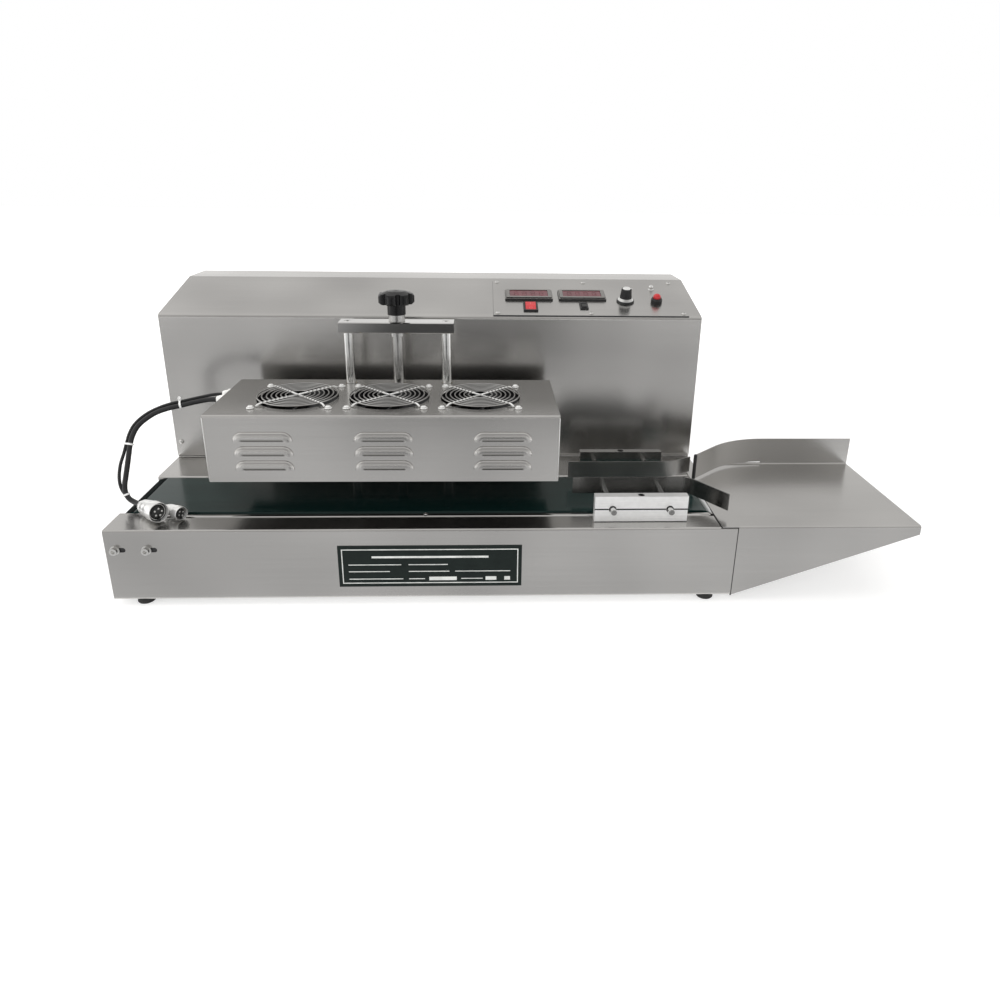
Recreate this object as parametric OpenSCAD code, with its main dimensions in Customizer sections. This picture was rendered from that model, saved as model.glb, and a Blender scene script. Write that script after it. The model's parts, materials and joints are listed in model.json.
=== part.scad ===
// Bench-top induction cap sealer: a belt conveyor base with a feed table, a generator cabinet with
// a sloped console, and an induction head that a hand screw lifts on two posts.

/* [Base] */
// Length of the base along the conveyor
base_l = 860; // [830:5:900]
// Depth of the base from the front panel to the rear wall
base_d = 495; // [480:5:540]
// Height of the base's deck above the floor
base_h = 116; // [112:1:126]
// Height of the rubber feet
foot_h = 10; // [8:1:13]
// Diameter of the rubber feet
foot_d = 24; // [18:1:30]
// Thickness of the folded steel sheet
sheet = 1.5; // [1.2:0.1:2]
// Radius of the folds, at the middle of the sheet
fold_r = 2.5; // [2:0.1:3.5]
// Depth of the flange along the top of the front panel
flange_d = 40; // [36:1:46]

/* [Conveyor] */
// Width of the belt
belt_w = 122; // [114:1:130]
// Thickness of the belt
belt_t = 2.2; // [1.5:0.1:3]
// Diameter of the rollers under the belt
roller_d = 52; // [46:1:54]
// Diameter of the roller shafts
shaft_d = 12; // [10:1:14]
// Distance of the tail roller's axis from the left end
tail_x = 18; // [16:1:24]
// Distance of the drive roller's axis from the right end
drive_inset = 36; // [34:1:50]
// Strip of the slider bed that shows in front of the belt
bed_margin = 10; // [8:1:14]
// Distance between the two tension bolts
tension_pitch = 42; // [36:1:46]

/* [Nameplate] */
// Length of the plate
plate_l = 252; // [200:1:280]
// Height of the plate
plate_h = 63; // [50:1:70]

/* [Cabinet] */
// Strip of deck between the conveyor and the cabinet
deck_strip = 82.5; // [76:0.5:90]
// Height of the cabinet's upright front
cab_front_h = 240; // [225:1:260]
// Width of the sloped console, measured up the slope
console_w = 153; // [150:1:165]
// Slope of the console
console_angle = 14.4; // [10:0.2:20]

/* [Control panel] */
// Length of the control plate
panel_l = 314; // [306:1:330]
// Width of the control plate, up the slope
panel_w = 138; // [136:1:142]
// Length of a panel meter's bezel
meter_l = 79; // [74:1:82]
// Width of a panel meter's bezel
meter_w = 36; // [32:1:42]
// Diameter of the speed knob
knob_cap_d = 19; // [15:0.5:22]
// Diameter of the push button's collar
button_d = 18.5; // [16:0.5:20]

/* [Induction head] */
// Length of the head
head_l = 476; // [470:1:500]
// Depth of the head
head_d = 180; // [176:1:190]
// Height of the head
head_h = 95; // [88:1:110]
// Free height between the deck and the head at rest
head_gap = 55.5; // [50:0.5:65]
// Distance of the head from the base's left end
head_x = 136.5; // [130:0.5:145]
// Length of a louvre
louvre_l = 80; // [60:1:90]
// Height of a louvre
louvre_h = 13.5; // [10:0.5:15]
// How far a louvre stands out of the front
louvre_rise = 4.5; // [3:0.5:6]
// Distance between rows of louvres
louvre_pitch = 20.5; // [19:0.5:24]

/* [Fans] */
// Width of a fan's square frame
fan_w = 120; // [116:1:124]
// Thickness of a fan
fan_t = 25; // [20:1:32]
// Distance between fans
fan_pitch = 130; // [126:0.5:136]
// Distance between a fan's screws
fan_bolt = 105; // [102:0.5:108]
// Blades on each fan
fan_blades = 7; // [5:1:9]
// Rings in each fan guard
guard_rings = 7; // [5:1:8]
// Diameter of the guard wire
wire_d = 2; // [1.6:0.1:2.4]

/* [Gantry] */
// Diameter of the guide posts
post_d = 14.5; // [12:0.5:16]
// Distance between the guide posts
post_span = 146; // [130:1:160]
// Diameter of the lifting screw
screw_d = 16.5; // [14:0.5:18]
// Length of the crossbar
bar_l = 170; // [166:1:190]
// Depth of the crossbar
bar_d = 30; // [24:1:34]
// Thickness of the crossbar
bar_h = 16; // [12:1:20]
// Height of the crossbar's underside above the deck
bar_rise = 230; // [220:1:250]
// Diameter of the star knob
star_d = 54; // [46:1:60]

/* [Guides] */
// Length of a guide block
block_l = 130; // [124:1:140]
// Depth of a guide block
block_d = 12.5; // [11:0.5:16]
// Height of a guide block
block_h = 38.5; // [34:0.5:42]
// Diameter of the guide rods
rod_d = 8; // [6:0.5:10]
// Distance between the two rods of a guide
rod_span = 80; // [70:1:90]
// Height of a guide rail
rail_h = 25; // [20:1:28]
// Width of the lane between the rails
lane_w = 61; // [50:1:66]

/* [Feed table] */
// How far the table reaches past the base
table_reach = 258; // [240:1:300]
// Depth of the table
table_d = 231; // [228:1:240]
// How far the table laps over the base
table_lap = 22; // [20:1:23]
// Height of the rear upstand
upstand_h = 46; // [38:1:56]
// Height of the skirt at the table's tip
tip_h = 13; // [10:1:20]

/* [Hidden] */
$fn = 64;
run_gap = 0.05;
roll_gap = 0.3;
hole_gap = 0.25;
cut = 1;
fold_steps = 5;
bow_steps = 10;
steel = [0.66, 0.65, 0.63];
bright = [0.82, 0.82, 0.82];
chrome = [0.88, 0.88, 0.9];
black = [0.07, 0.07, 0.08];
dark = [0.16, 0.16, 0.17];
belt_green = [0.06, 0.17, 0.15];
rubber = [0.1, 0.1, 0.1];
red = [0.75, 0.05, 0.04];
white = [0.9, 0.9, 0.88];
brass = [0.72, 0.55, 0.25];
copper = [0.72, 0.42, 0.22];

// Conveyor
belt_drop = 0.8;
axis_z = base_h - belt_drop - belt_t - roller_d / 2;
drive_x = base_l - drive_inset;
belt_r = roller_d / 2 + belt_t;
bed_gap = 8;
bed_y = flange_d + bed_gap;
bed_z = axis_z + roller_d / 2;
bed_inset = sheet + 2.5;
belt_y = bed_y + bed_margin;
deck_y = belt_y + belt_w + 3;
cheek_y = belt_y - 4.5;
cheek_l = 44;
cheek_lap = 8;
lane_y = belt_y + belt_w / 2;
notch_z = axis_z - belt_r - 6;
floor_z = foot_h + sheet;
foot_x = [36.5, base_l - 32];
foot_in = 16;
lip_h = 12;
drum_y = belt_y - 1;
drum_l = belt_w + 2;
bearing_d = 16;
bearing_h = 34;
bearing_l = 70;
bearing_end = 14;
bore_d = shaft_d + 2 * run_gap;
rear_bearing_y = deck_y + sheet;
coupling_y = rear_bearing_y + bearing_d + 3;
coupling_l = 30;
coupling_d = shaft_d + 16;
motor_y = coupling_y + coupling_l + 3;
motor_d = 2 * (base_h - sheet - axis_z) - 3;
motor_shaft_d = 10;

// Nameplate
plate_x = 310;
plate_z = foot_h + 18.5;
plate_t = 1;

// Bolts and screws
tension_x = tail_x - 5;
bolt_d = 6;
bolt_head_d = 10;
bolt_head_h = 5.5;
washer_d = 13;
washer_t = 1;
bolt_reach = washer_t + bolt_head_h;
slot_w = bolt_d + 0.8;
slot_l = 20;
pan_d = 4;
pan_head_d = 7.5;
pan_head_h = 2.4;
pan_l = 9;

// Cabinet and console
cab_y = deck_y + deck_strip;
bend_z = base_h + cab_front_h;
top_y = cab_y + sheet / 2 + console_w * cos(console_angle);
top_z = bend_z + sheet / 2 + console_w * sin(console_angle);
back_t = sheet;
back_y = base_d + back_t;
panel_x = base_l - panel_l - 21;
panel_s = 1;
panel_screw_in = 7;
window_in = 13.5;
inlet_z = base_h + 45;
inlet_x = base_l - 90;
inlet_reach = 18;
inlet_d = 22;
sink_x = 200;
sink_y = cab_y + 40;
sink_size = [220, 120, 8];
fins = 11;
fin_t = 3;
fin_h = 33;
board_x = sink_x + sink_size.x + 40;
board_size = [240, 140, 2];
cab_screw = [9, 28];
back_screw_x = [20, base_l / 2, base_l - 20];
back_low_z = base_h - 14;
back_high_z = top_z - 15;
cab_fold_r = 6;
cab_fold_steps = 8;

// Places on the control plate, measured from its lower left corner
meter_at = [[59.5, 74.5], [148.5, 74.5]];
rocker_at = [60.5, 29.5];
rocker_size = [23.5, 31];
toggle_at = [148, 34];
toggle_size = [13.5, 23];
knob_at = [219.5, 55];
lamp_at = [271, 103];
button_at = [271, 52.5];
dial_d = 29;
lamp_d = 10;
lamp_dome_r = lamp_d / 2 - 1.2;
skirt_h = 7.4;
plunger_r = button_d / 2 - 2.8;
bezel_h = 3;
lens_l = meter_l - 15;
lens_w = meter_w - 12;

// Head
head_y = lane_y + 6 - head_d / 2;
head_z = base_h + head_gap;
head_top = head_z + head_h;
head_mid = head_x + head_l / 2;
fan_z = head_top - sheet - fan_t;
fan_y = lane_y;
fan_hole_d = fan_w - 6;
fan_duct_d = fan_w - 4;
fan_hub_d = 42;
pin_d = 4;
ring_z = 2.6;
ring_pitch = 6.5;
coil_t = 6;
coil_l = 320;
coil_w = 110;
coil_h = 10;
coil_turns = 5;
coil_pitch = 15;
column_pitch = 161;
louvre_z = head_z + 45 - louvre_pitch - louvre_h / 2;
louvre_lip = louvre_rise / 2;
louvre_wall = 1.2;
louvre_crest = louvre_h * 0.35;
mouth_h = 4.5;
head_edge_r = 1.2;
gland_y = [head_y + 103, head_y + 130];
gland_z = head_top - 9.5;
gland_reach = 14;

// Gantry
gantry_x = head_mid + 5.5;
post_y = deck_y + 13;
post_sink = 8;
bar_edge = 1.2;
bar_z = base_h + bar_rise;
bar_top = bar_z + bar_h;
screw_foot = 2;
star_z = bar_top + 26;
star_h = 20;
hub_d = 27;
collar_d = screw_d + 8;
bush_l = 24;
bush_wall = 7.6;

// Guides
block_x = base_l - 197;
block_mid = block_x + block_l / 2;
front_block_y = flange_d / 2;
rear_block_y = deck_y + 6;
rod_z = base_h + block_h / 2;
seam = 0.8;
lane_mid = lane_y + 2.5;
front_rail_y = lane_mid - lane_w / 2;
rear_rail_y = lane_mid + lane_w / 2;
rail_z = base_h + 12;
rail_x = block_x - 23;
rod_stand = 11;
clamp_d = 5;
clamp_head_d = 9;
clamp_head_h = 4;

// Feed table
table_x = base_l - table_lap;
tip_x = base_l + table_reach;
table_z = base_h + sheet;
slit_x = base_l + 111;
strip_bend_x = base_l + 58;
strip_r = 135;
strip_steps = 18;
skirt_gap = 1.2;
tab_y = 5;
tab_d = 30;
tab_up = 6;
strip_end_y = table_d - 74;
strip_z = table_z + 4;
lap_bolt_y = 22;
lap_bolt_z = [foot_h + 22, base_h - 38];

// Cords: hand-chosen routes from the head's glands to the plugs, from the base's front left corner
power_cord_d = 7;
signal_cord_d = 4.5;
power_route = [
  [122.2, 138, 257], [110, 138, 256.5], [92, 134, 254], [73, 128.5, 250.5], [57, 125, 247.5],
  [41, 121, 242.5], [27, 117, 234.5], [16, 112, 225], [10, 106, 214], [7, 100, 202], [6, 94, 190],
  [5, 87, 176], [3.5, 80, 161], [2, 75.5, 149], [3, 72.5, 139], [7.5, 70, 131.5], [14.5, 67, 127.5],
  [22.5, 62, 126.7], [31, 55, 127.5]];
signal_route = [
  [122.2, 165, 257], [110, 163, 256.8], [93, 152, 255.8], [74, 137.5, 254.5], [57, 131.5, 252],
  [40, 127.5, 246.5], [24, 122.5, 238.5], [11, 116.5, 227.5], [4, 110, 215.5], [0.5, 103, 202],
  [-2, 96, 189.5], [-5.5, 88, 175], [-6.5, 81, 159], [-4.5, 77, 146], [0, 76.5, 135],
  [8, 77, 126.5], [21, 75.5, 120], [38, 70, 118.5], [54, 60, 122.5], [67, 50.5, 126]];
power_plug_turn = [0, 85, -41];
signal_plug_turn = [0, 90, -35];
power_plug_d = 27.6;
signal_plug_d = 19;
plug_gap = 0.4;

// Reach of the whole machine, without the cords
left_reach = belt_r - tail_x;
mid_x = (tip_x - left_reach) / 2;
mid_y = (back_y + inlet_reach - bolt_reach) / 2;

// Folded sheet: a line with rounded corners, given a thickness
function unit(v) = v / norm(v);
function turned(v) = [-v.y, v.x];
function reversed(v) = [for (i = [len(v) - 1:-1:0]) v[i]];
function corner(a, b, c, r, n) =
  let (u = unit(a - b), v = unit(c - b), half = acos(u * v) / 2)
  let (o = b + unit(u + v) * r / sin(half), p = b + u * r / tan(half), q = b + v * r / tan(half))
  let (from = atan2(p.y - o.y, p.x - o.x), to = atan2(q.y - o.y, q.x - o.x))
  let (sweep = (to - from + 540) % 360 - 180)
  [for (i = [0:n]) o + r * [cos(from + sweep * i / n), sin(from + sweep * i / n)]];
function rounded(p, r, n) =
  [p[0], for (i = [1:len(p) - 2]) each corner(p[i - 1], p[i], p[i + 1], r, n), p[len(p) - 1]];
function beside(p, t) = [for (i = [0:len(p) - 1])
  let (before = unit(p[max(i, 1)] - p[max(i, 1) - 1]))
  let (last = len(p) - 1, after = unit(p[min(i, last - 1) + 1] - p[min(i, last - 1)]))
  let (side = unit(turned(before + after)))
  p[i] + side * t / (side * turned(before))];
function folded(p, r = fold_r, n = fold_steps, t = sheet) =
  let (line = rounded(p, r, n)) concat(beside(line, t / 2), reversed(beside(line, -t / 2)));

// Placing helpers
module place() translate([-mid_x, -mid_y, 0]) children();
module along_x(x, l) translate([x, 0, 0]) rotate([90, 0, 90]) linear_extrude(l) children();
module along_y(y, l) translate([0, y + l, 0]) rotate([90, 0, 0]) linear_extrude(l) children();
module rod_y(x, y, z, l, d) translate([x, y, z]) rotate([-90, 0, 0]) cylinder(h = l, d = d);
module on_panel(at, h = 0) translate([panel_x, cab_y + sheet / 2, bend_z]) rotate([console_angle, 0, 0])
  translate([at.x, panel_s + at.y, sheet / 2 + h]) children();

// Base: one folded sheet section with notched end walls
module end_wall() {
  half = sheet / 2;
  outline = [[cheek_y, notch_z], [cheek_y, base_h - half], [half, base_h - half],
    [half, foot_h + half], [base_d - half, foot_h + half], [base_d - half, base_h - half],
    [deck_y, base_h - half], [deck_y, notch_z]];
  polygon(rounded(outline, fold_r, fold_steps));
}
module base_shell() color(steel) {
  half = sheet / 2;
  section = [[flange_d - half, base_h - lip_h], [flange_d - half, base_h - half],
    [half, base_h - half], [half, foot_h + half], [base_d - half, foot_h + half],
    [base_d - half, base_h - half], [deck_y + half, base_h - half], [deck_y + half, floor_z + 2]];
  difference() {
    union() {
      along_x(0, base_l) polygon(folded(section));
      for (x = [0, base_l - sheet])
        along_x(x, sheet) end_wall();
      translate([0, flange_d - cheek_lap, base_h - sheet])
        cube([cheek_l, cheek_y - flange_d + cheek_lap, sheet]);
    }
    for (i = [0, 1])
      tension_slot(tension_x + i * tension_pitch);
    for (x = [tail_x, drive_x])
      rod_y(x, deck_y - cut, axis_z, sheet + 2 * cut, shaft_d + 6);
    for (z = lap_bolt_z)
      translate([base_l - sheet - cut, lap_bolt_y, z]) rotate([0, 90, 0])
        cylinder(h = sheet + 2 * cut, d = pan_d + 2 * hole_gap);
    for (y = [front_block_y, rear_block_y])
      translate([block_mid, y + block_d / 2, base_h - sheet - cut])
        cylinder(h = sheet + 2 * cut, d = clamp_d + 2 * hole_gap);
    for (x = back_screw_x)
      rod_y(x, base_d - sheet - cut, back_low_z, sheet + 2 * cut, pan_d + 2 * hole_gap);
  }
}
module tension_slot(x) {
  for (dx = [slot_w / 2 - bolt_d, slot_l - bolt_d - slot_w / 2])
    rod_y(x + dx, -cut, axis_z, sheet + 2 * cut, slot_w);
  translate([x + slot_w / 2 - bolt_d, -cut, axis_z - slot_w / 2])
    cube([slot_l - slot_w, sheet + 2 * cut, slot_w]);
}
module feet() color(rubber)
  for (x = foot_x, y = [foot_in, base_d - foot_in])
    translate([x, y, 0]) rotate_extrude()
      polygon([[3, 2], [3, 0], [foot_d / 2 - 1, 0], [foot_d / 2, 1.5], [foot_d / 2 - 1.5, foot_h],
        [0, foot_h], [0, 2]]);

// Conveyor
module slider_bed() color(bright) {
  half = sheet / 2;
  section = [[bed_y + 13, floor_z + half], [bed_y + half, floor_z + half],
    [bed_y + half, bed_z - half], [deck_y - half, bed_z - half], [deck_y - half, bed_z - lip_h]];
  notch_l = roller_d / 2 + 4;
  difference() {
    along_x(bed_inset, base_l - 2 * bed_inset) polygon(folded(section));
    for (x = [tail_x, drive_x]) {
      rod_y(x, bed_y - cut, axis_z, sheet + 2 * cut, shaft_d + 8);
      translate([x < base_l / 2 ? 0 : x - notch_l, drum_y - 2, bed_z - 4])
        cube([x < base_l / 2 ? x + notch_l : base_l - x + notch_l, drum_l + 3, 6]);
    }
    translate([base_l / 2 - 3, bed_y + bed_margin / 2 - 1, bed_z - sheet - cut])
      cylinder(h = sheet + 2 * cut, d = pan_d + 2 * hole_gap);
  }
}
module loop_outline(r) {
  for (x = [tail_x, drive_x])
    translate([x, axis_z]) circle(r);
  translate([tail_x, axis_z - r]) square([drive_x - tail_x, 2 * r]);
}
module conveyor_belt() color(belt_green)
  along_y(belt_y, belt_w) difference() {
    loop_outline(belt_r);
    loop_outline(roller_d / 2);
  }
module roller(x, shaft_end) {
  shaft_y = sheet + bearing_d / 2 + 0.5;
  rod_y(x, drum_y, axis_z, drum_l, roller_d - 2 * roll_gap);
  rod_y(x, shaft_y, axis_z, shaft_end - shaft_y, shaft_d);
}
module tail_roller() color(bright) roller(tail_x, rear_bearing_y + bearing_d - 0.5);
module drive_roller() color(bright) roller(drive_x, coupling_y + coupling_l / 2);
module bearing(x, y, from, bore_y, bore_l) difference() {
  translate([x - from, y, axis_z - bearing_h / 2]) cube([bearing_l, bearing_d, bearing_h]);
  rod_y(x, bore_y, axis_z, bore_l, bore_d);
}
module tail_bearings() color(dark) {
  difference() {
    bearing(tail_x, sheet, bearing_end, sheet + bearing_d / 2, bearing_d);
    for (i = [0, 1])
      rod_y(tension_x + i * tension_pitch, 0, axis_z, sheet + bearing_d / 2 - 1, bolt_d + 2 * run_gap);
  }
  bearing(tail_x, rear_bearing_y, bearing_end, deck_y, bearing_d + 2 * sheet);
}
module drive_bearings() color(dark) {
  from = bearing_l - bearing_end;
  bearing(drive_x, sheet, from, sheet + bearing_d / 2, bearing_d);
  bearing(drive_x, rear_bearing_y, from, deck_y, bearing_d + 2 * sheet);
}
module tension_bolts() color(bright)
  for (i = [0, 1])
    translate([tension_x + i * tension_pitch, 0, axis_z]) rotate([90, 0, 0]) difference() {
      union() {
        cylinder(h = washer_t, d = washer_d);
        cylinder(h = bolt_reach, d = bolt_head_d);
        translate([0, 0, -sheet - bearing_d / 2 + 1.5]) cylinder(h = bearing_d / 2, d = bolt_d);
      }
      translate([0, 0, bolt_reach - 3]) cylinder(h = 3 + cut, d = 5.8, $fn = 6);
    }
module shaft_coupling() color(dark) {
  difference() {
    rod_y(drive_x, coupling_y, axis_z, coupling_l, coupling_d);
    rod_y(drive_x, coupling_y - cut, axis_z, coupling_l / 2 + cut + 0.5, bore_d);
  }
  rod_y(drive_x, coupling_y + coupling_l - cut, axis_z, cut + 3 + 14, motor_shaft_d);
}
module gear_motor() color(dark) difference() {
  union() {
    rod_y(drive_x, motor_y, axis_z, 62, motor_d);
    rod_y(drive_x, motor_y + 62, axis_z, 78, motor_d - 6);
    translate([drive_x - 18, motor_y + 8, floor_z]) cube([36, 46, axis_z - floor_z]);
    translate([drive_x - 34, motor_y + 4, floor_z]) cube([68, 54, 5]);
  }
  rod_y(drive_x, motor_y - cut, axis_z, 16 + cut, motor_shaft_d + 2 * run_gap);
}
module nameplate() color([0.08, 0.13, 0.11])
  translate([plate_x, -plate_t, plate_z]) cube([plate_l, plate_t, plate_h]);

// Feed table: one sheet with a tapered skirt and an upstand whose slit end bows towards the belt
module feed_table() color(steel) {
  half = sheet / 2;
  section = [[half, foot_h], [half, table_z - half], [table_d - half, table_z - half],
    [table_d - half, base_h + upstand_h]];
  strip = [[slit_x + 1, table_d - half], [strip_bend_x, table_d - half], [table_x, strip_end_y]];
  difference() {
    union() {
      along_x(base_l + skirt_gap, table_reach - skirt_gap) polygon(folded(section));
      translate([base_l, tab_y, foot_h + tab_up]) cube([sheet, tab_d, base_h + half - foot_h - tab_up]);
    }
    translate([0, -cut, 0]) along_y(0, 8 + cut) polygon([[base_l, foot_h], [base_l, 0],
      [tip_x + cut, 0], [tip_x + cut, table_z - tip_h]]);
    translate([base_l - cut, table_d - 6, strip_z - 1.5]) cube([slit_x - base_l + cut, 8, upstand_h]);
    for (z = lap_bolt_z)
      translate([base_l - cut, lap_bolt_y, z]) rotate([0, 90, 0])
        cylinder(h = sheet + 2 * cut, d = pan_d + 2 * hole_gap);
  }
  translate([table_x, 0, base_h]) cube([table_lap + skirt_gap + cut, table_d - 6, sheet]);
  translate([0, 0, strip_z]) linear_extrude(base_h + upstand_h - strip_z)
    polygon(folded(strip, strip_r, strip_steps));
}

// Guides: clamp blocks, rods and rails
module rod_bores(y) for (dx = [-rod_span / 2, rod_span / 2])
  rod_y(block_mid + dx, y - cut, rod_z, block_d + 2 * cut, rod_d + 2 * run_gap);
module block_half(y, z, h) difference() {
  translate([block_x, y, z]) cube([block_l, block_d, h]);
  rod_bores(y);
  translate([block_mid, y + block_d / 2, base_h - cut]) cylinder(h = block_h + 2 * cut,
    d = clamp_d + 2 * hole_gap);
  translate([block_mid, y + block_d / 2, base_h + block_h - clamp_head_h - 0.4])
    cylinder(h = clamp_head_h + cut, d = clamp_head_d + 0.8);
}
module block_lower(y) block_half(y, base_h, block_h / 2 - seam / 2);
module block_upper(y) block_half(y, rod_z + seam / 2, block_h / 2 - seam / 2);
module front_block_lower() color(bright) block_lower(front_block_y);
module front_block_upper() color(bright) block_upper(front_block_y);
module rear_block_lower() color(bright) block_lower(rear_block_y);
module rear_block_upper() color(bright) block_upper(rear_block_y);
module clamp_screws() color(chrome)
  for (y = [front_block_y, rear_block_y])
    translate([block_mid, y + block_d / 2, 0]) difference() {
      union() {
        translate([0, 0, base_h - sheet - 4]) cylinder(h = block_h + sheet + 2, d = clamp_d);
        translate([0, 0, base_h + block_h - clamp_head_h - 0.4]) cylinder(h = clamp_head_h, d = clamp_head_d);
        translate([0, 0, base_h - sheet - 4]) cylinder(h = 4, d = clamp_d * 1.9, $fn = 6);
      }
      translate([0, 0, base_h + block_h - 3]) cylinder(h = 4, d = clamp_d, $fn = 6);
    }
module rods(y, l) for (dx = [-rod_span / 2, rod_span / 2])
  rod_y(block_mid + dx, y, rod_z, l, rod_d);
module front_guide_rods() color(chrome)
  rods(front_block_y - rod_stand, front_rail_y - sheet / 2 - front_block_y + rod_stand);
module rear_guide_rods() color(chrome)
  rods(rear_rail_y + sheet / 2, rear_block_y + block_d + rod_stand - rear_rail_y - sheet / 2);
module rail(line, r) translate([0, 0, rail_z]) linear_extrude(rail_h)
  polygon(folded(line, r, bow_steps));
module front_guide_rail() color(steel) {
  bend = block_x + block_l + 19;
  rail([[rail_x, front_rail_y], [bend, front_rail_y], [bend + 41, front_rail_y - 61]], 25);
}
module rear_guide_rail() color(steel) {
  bend = block_x + block_l + 7;
  rail([[rail_x, rear_rail_y], [bend, rear_rail_y], [bend + 35, rear_rail_y + 21]], 60);
}

// Cabinet
module console_window() on_panel([window_in, window_in], -6)
  cube([panel_l - 2 * window_in, panel_w - 2 * window_in, 12]);
module panel_screw_places() {
  for (x = [panel_screw_in, panel_l / 2, panel_l - panel_screw_in])
    for (y = [panel_screw_in, panel_w - panel_screw_in])
      on_panel([x, y], sheet) children();
}
module cabinet_shell() color(steel) {
  half = sheet / 2;
  section = [[cab_y + 24, base_h + half], [cab_y + half, base_h + half], [cab_y + half, bend_z],
    [top_y, top_z - half], [base_d - half, top_z - half], [base_d - half, top_z - 22]];
  side = [[base_d - half, base_h], [cab_y + half, base_h], [cab_y + half, bend_z],
    [top_y, top_z - half], [base_d - half, top_z - half], [base_d - half, base_h]];
  difference() {
    union() {
      along_x(0, base_l) polygon(folded(section, cab_fold_r, cab_fold_steps));
      for (x = [0, base_l - sheet])
        along_x(x, sheet) polygon(rounded(side, cab_fold_r, cab_fold_steps));
    }
    console_window();
    panel_screw_places() translate([0, 0, -pan_l]) cylinder(h = pan_l + 2, d = pan_d + 2 * hole_gap);
    translate([cab_screw.x, cab_y - cut, base_h + cab_screw.y]) rotate([-90, 0, 0])
      cylinder(h = sheet + 2 * cut, d = pan_d + 2 * hole_gap);
    for (x = back_screw_x)
      rod_y(x, base_d - sheet - cut, back_high_z, sheet + 2 * cut, pan_d + 2 * hole_gap);
  }
}
module cabinet_back() color(steel) difference() {
  translate([sheet, base_d, base_h - 20]) cube([base_l - 2 * sheet, back_t, top_z - base_h + 12]);
  for (x = [base_l * 0.28, base_l * 0.62], i = [0:6])
    translate([x - 55, base_d - cut, base_h + 95 + i * 18]) {
      cube([110, back_t + 2 * cut, 6]);
      for (end = [0, 110])
        translate([end, 0, 3]) rotate([-90, 0, 0]) cylinder(h = back_t + 2 * cut, d = 6);
    }
  rod_y(inlet_x, base_d - cut, inlet_z, back_t + 2 * cut, inlet_d - 6);
  for (x = back_screw_x, z = [back_low_z, back_high_z])
    rod_y(x, base_d - cut, z, back_t + 2 * cut, pan_d + 2 * hole_gap);
}
module pan_screw(l = pan_l) {
  translate([0, 0, -l]) cylinder(h = l + 0.5, d = pan_d);
  difference() {
    rotate_extrude() polygon([[0, 0], [pan_head_d / 2, 0], [pan_head_d / 2, pan_head_h * 0.45],
      [pan_head_d / 2 - 1, pan_head_h * 0.85], [pan_head_d / 2 - 2.2, pan_head_h], [0, pan_head_h]]);
    for (a = [0, 90])
      rotate(a) translate([-2, -0.4, pan_head_h - 1]) cube([4, 0.8, 2]);
  }
}
module panel_screws() color(bright) {
  panel_screw_places() pan_screw();
  translate([cab_screw.x, cab_y, base_h + cab_screw.y]) rotate([90, 0, 0]) pan_screw();
  translate([base_l / 2 - 3, bed_y + bed_margin / 2 - 1, bed_z]) pan_screw();
  for (x = back_screw_x, z = [back_low_z, back_high_z])
    translate([x, back_y, z]) rotate([-90, 0, 0]) pan_screw();
  for (z = lap_bolt_z)
    translate([base_l + sheet, lap_bolt_y, z]) rotate([0, 90, 0]) pan_screw();
  crossbar_screws();
}

// Controls
module centred(size, h) translate([-size.x / 2, -size.y / 2, 0]) cube([size.x, size.y, h]);
module control_plate() color(steel) on_panel([0, 0]) difference() {
  cube([panel_l, panel_w, sheet]);
  for (at = meter_at)
    translate([at.x, at.y, -cut]) centred([meter_l - 4 + 2 * hole_gap, meter_w - 4 + 2 * hole_gap], 5);
  translate([rocker_at.x, rocker_at.y, -cut])
    centred(rocker_size - [3, 3] + [2 * hole_gap, 2 * hole_gap], 5);
  translate([toggle_at.x, toggle_at.y, -cut])
    centred(toggle_size - [2, 2] + [2 * hole_gap, 2 * hole_gap], 5);
  translate([knob_at.x, knob_at.y, -cut]) cylinder(h = 5, d = 10 + 2 * hole_gap);
  translate([lamp_at.x, lamp_at.y, -cut]) cylinder(h = 5, d = lamp_d - 3 + 2 * hole_gap);
  translate([button_at.x, button_at.y, -cut]) cylinder(h = 5, d = button_d - 4 + 2 * hole_gap);
  for (x = [panel_screw_in, panel_l / 2, panel_l - panel_screw_in])
    for (y = [panel_screw_in, panel_w - panel_screw_in])
      translate([x, y, -cut]) cylinder(h = 5, d = pan_d + 2 * hole_gap);
}
module meter(at) on_panel(at, sheet) difference() {
  union() {
    centred([meter_l, meter_w], bezel_h);
    translate([0, 0, bezel_h]) centred([meter_l - 4, meter_w - 4], 2);
    translate([0, 0, -45]) centred([meter_l - 4, meter_w - 4], 46);
  }
  translate([0, 1, bezel_h]) centred([lens_l, lens_w], 3);
}
module meter_left() color(dark) meter(meter_at[0]);
module meter_right() color(dark) meter(meter_at[1]);
module meter_lenses() color([0.28, 0.03, 0.04])
  for (at = meter_at)
    on_panel([at.x, at.y + 1], sheet + bezel_h)
      centred([lens_l - 2 * hole_gap, lens_w - 2 * hole_gap], 1.2);
module switch_frame(at, size, lip, rise) on_panel(at, sheet) difference() {
  union() {
    centred(size, rise);
    translate([0, 0, -26]) centred(size - [lip, lip], 27);
  }
  translate([0, 0, -14]) centred(size - [lip + 3, lip + 3], 30);
}
module rocker(at, size, lip, rise, angle) on_panel(at, sheet) {
  clear = size - [lip + 3.8, lip + 3.8];
  half = clear.y / 2;
  rotate([angle, 0, 0]) translate([-clear.x / 2, 0, 0]) rotate([90, 0, 90]) linear_extrude(clear.x)
    intersection() {
      polygon([[-half - 2, rise + 0.6], [0, rise + 1.4], [half + 2, rise + 0.6], [half, -3], [3, -8],
        [-3, -8], [-half, -3]]);
      circle(half);
    }
}
module power_switch_frame() color(black) switch_frame(rocker_at, rocker_size, 3, 2.5);
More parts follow.
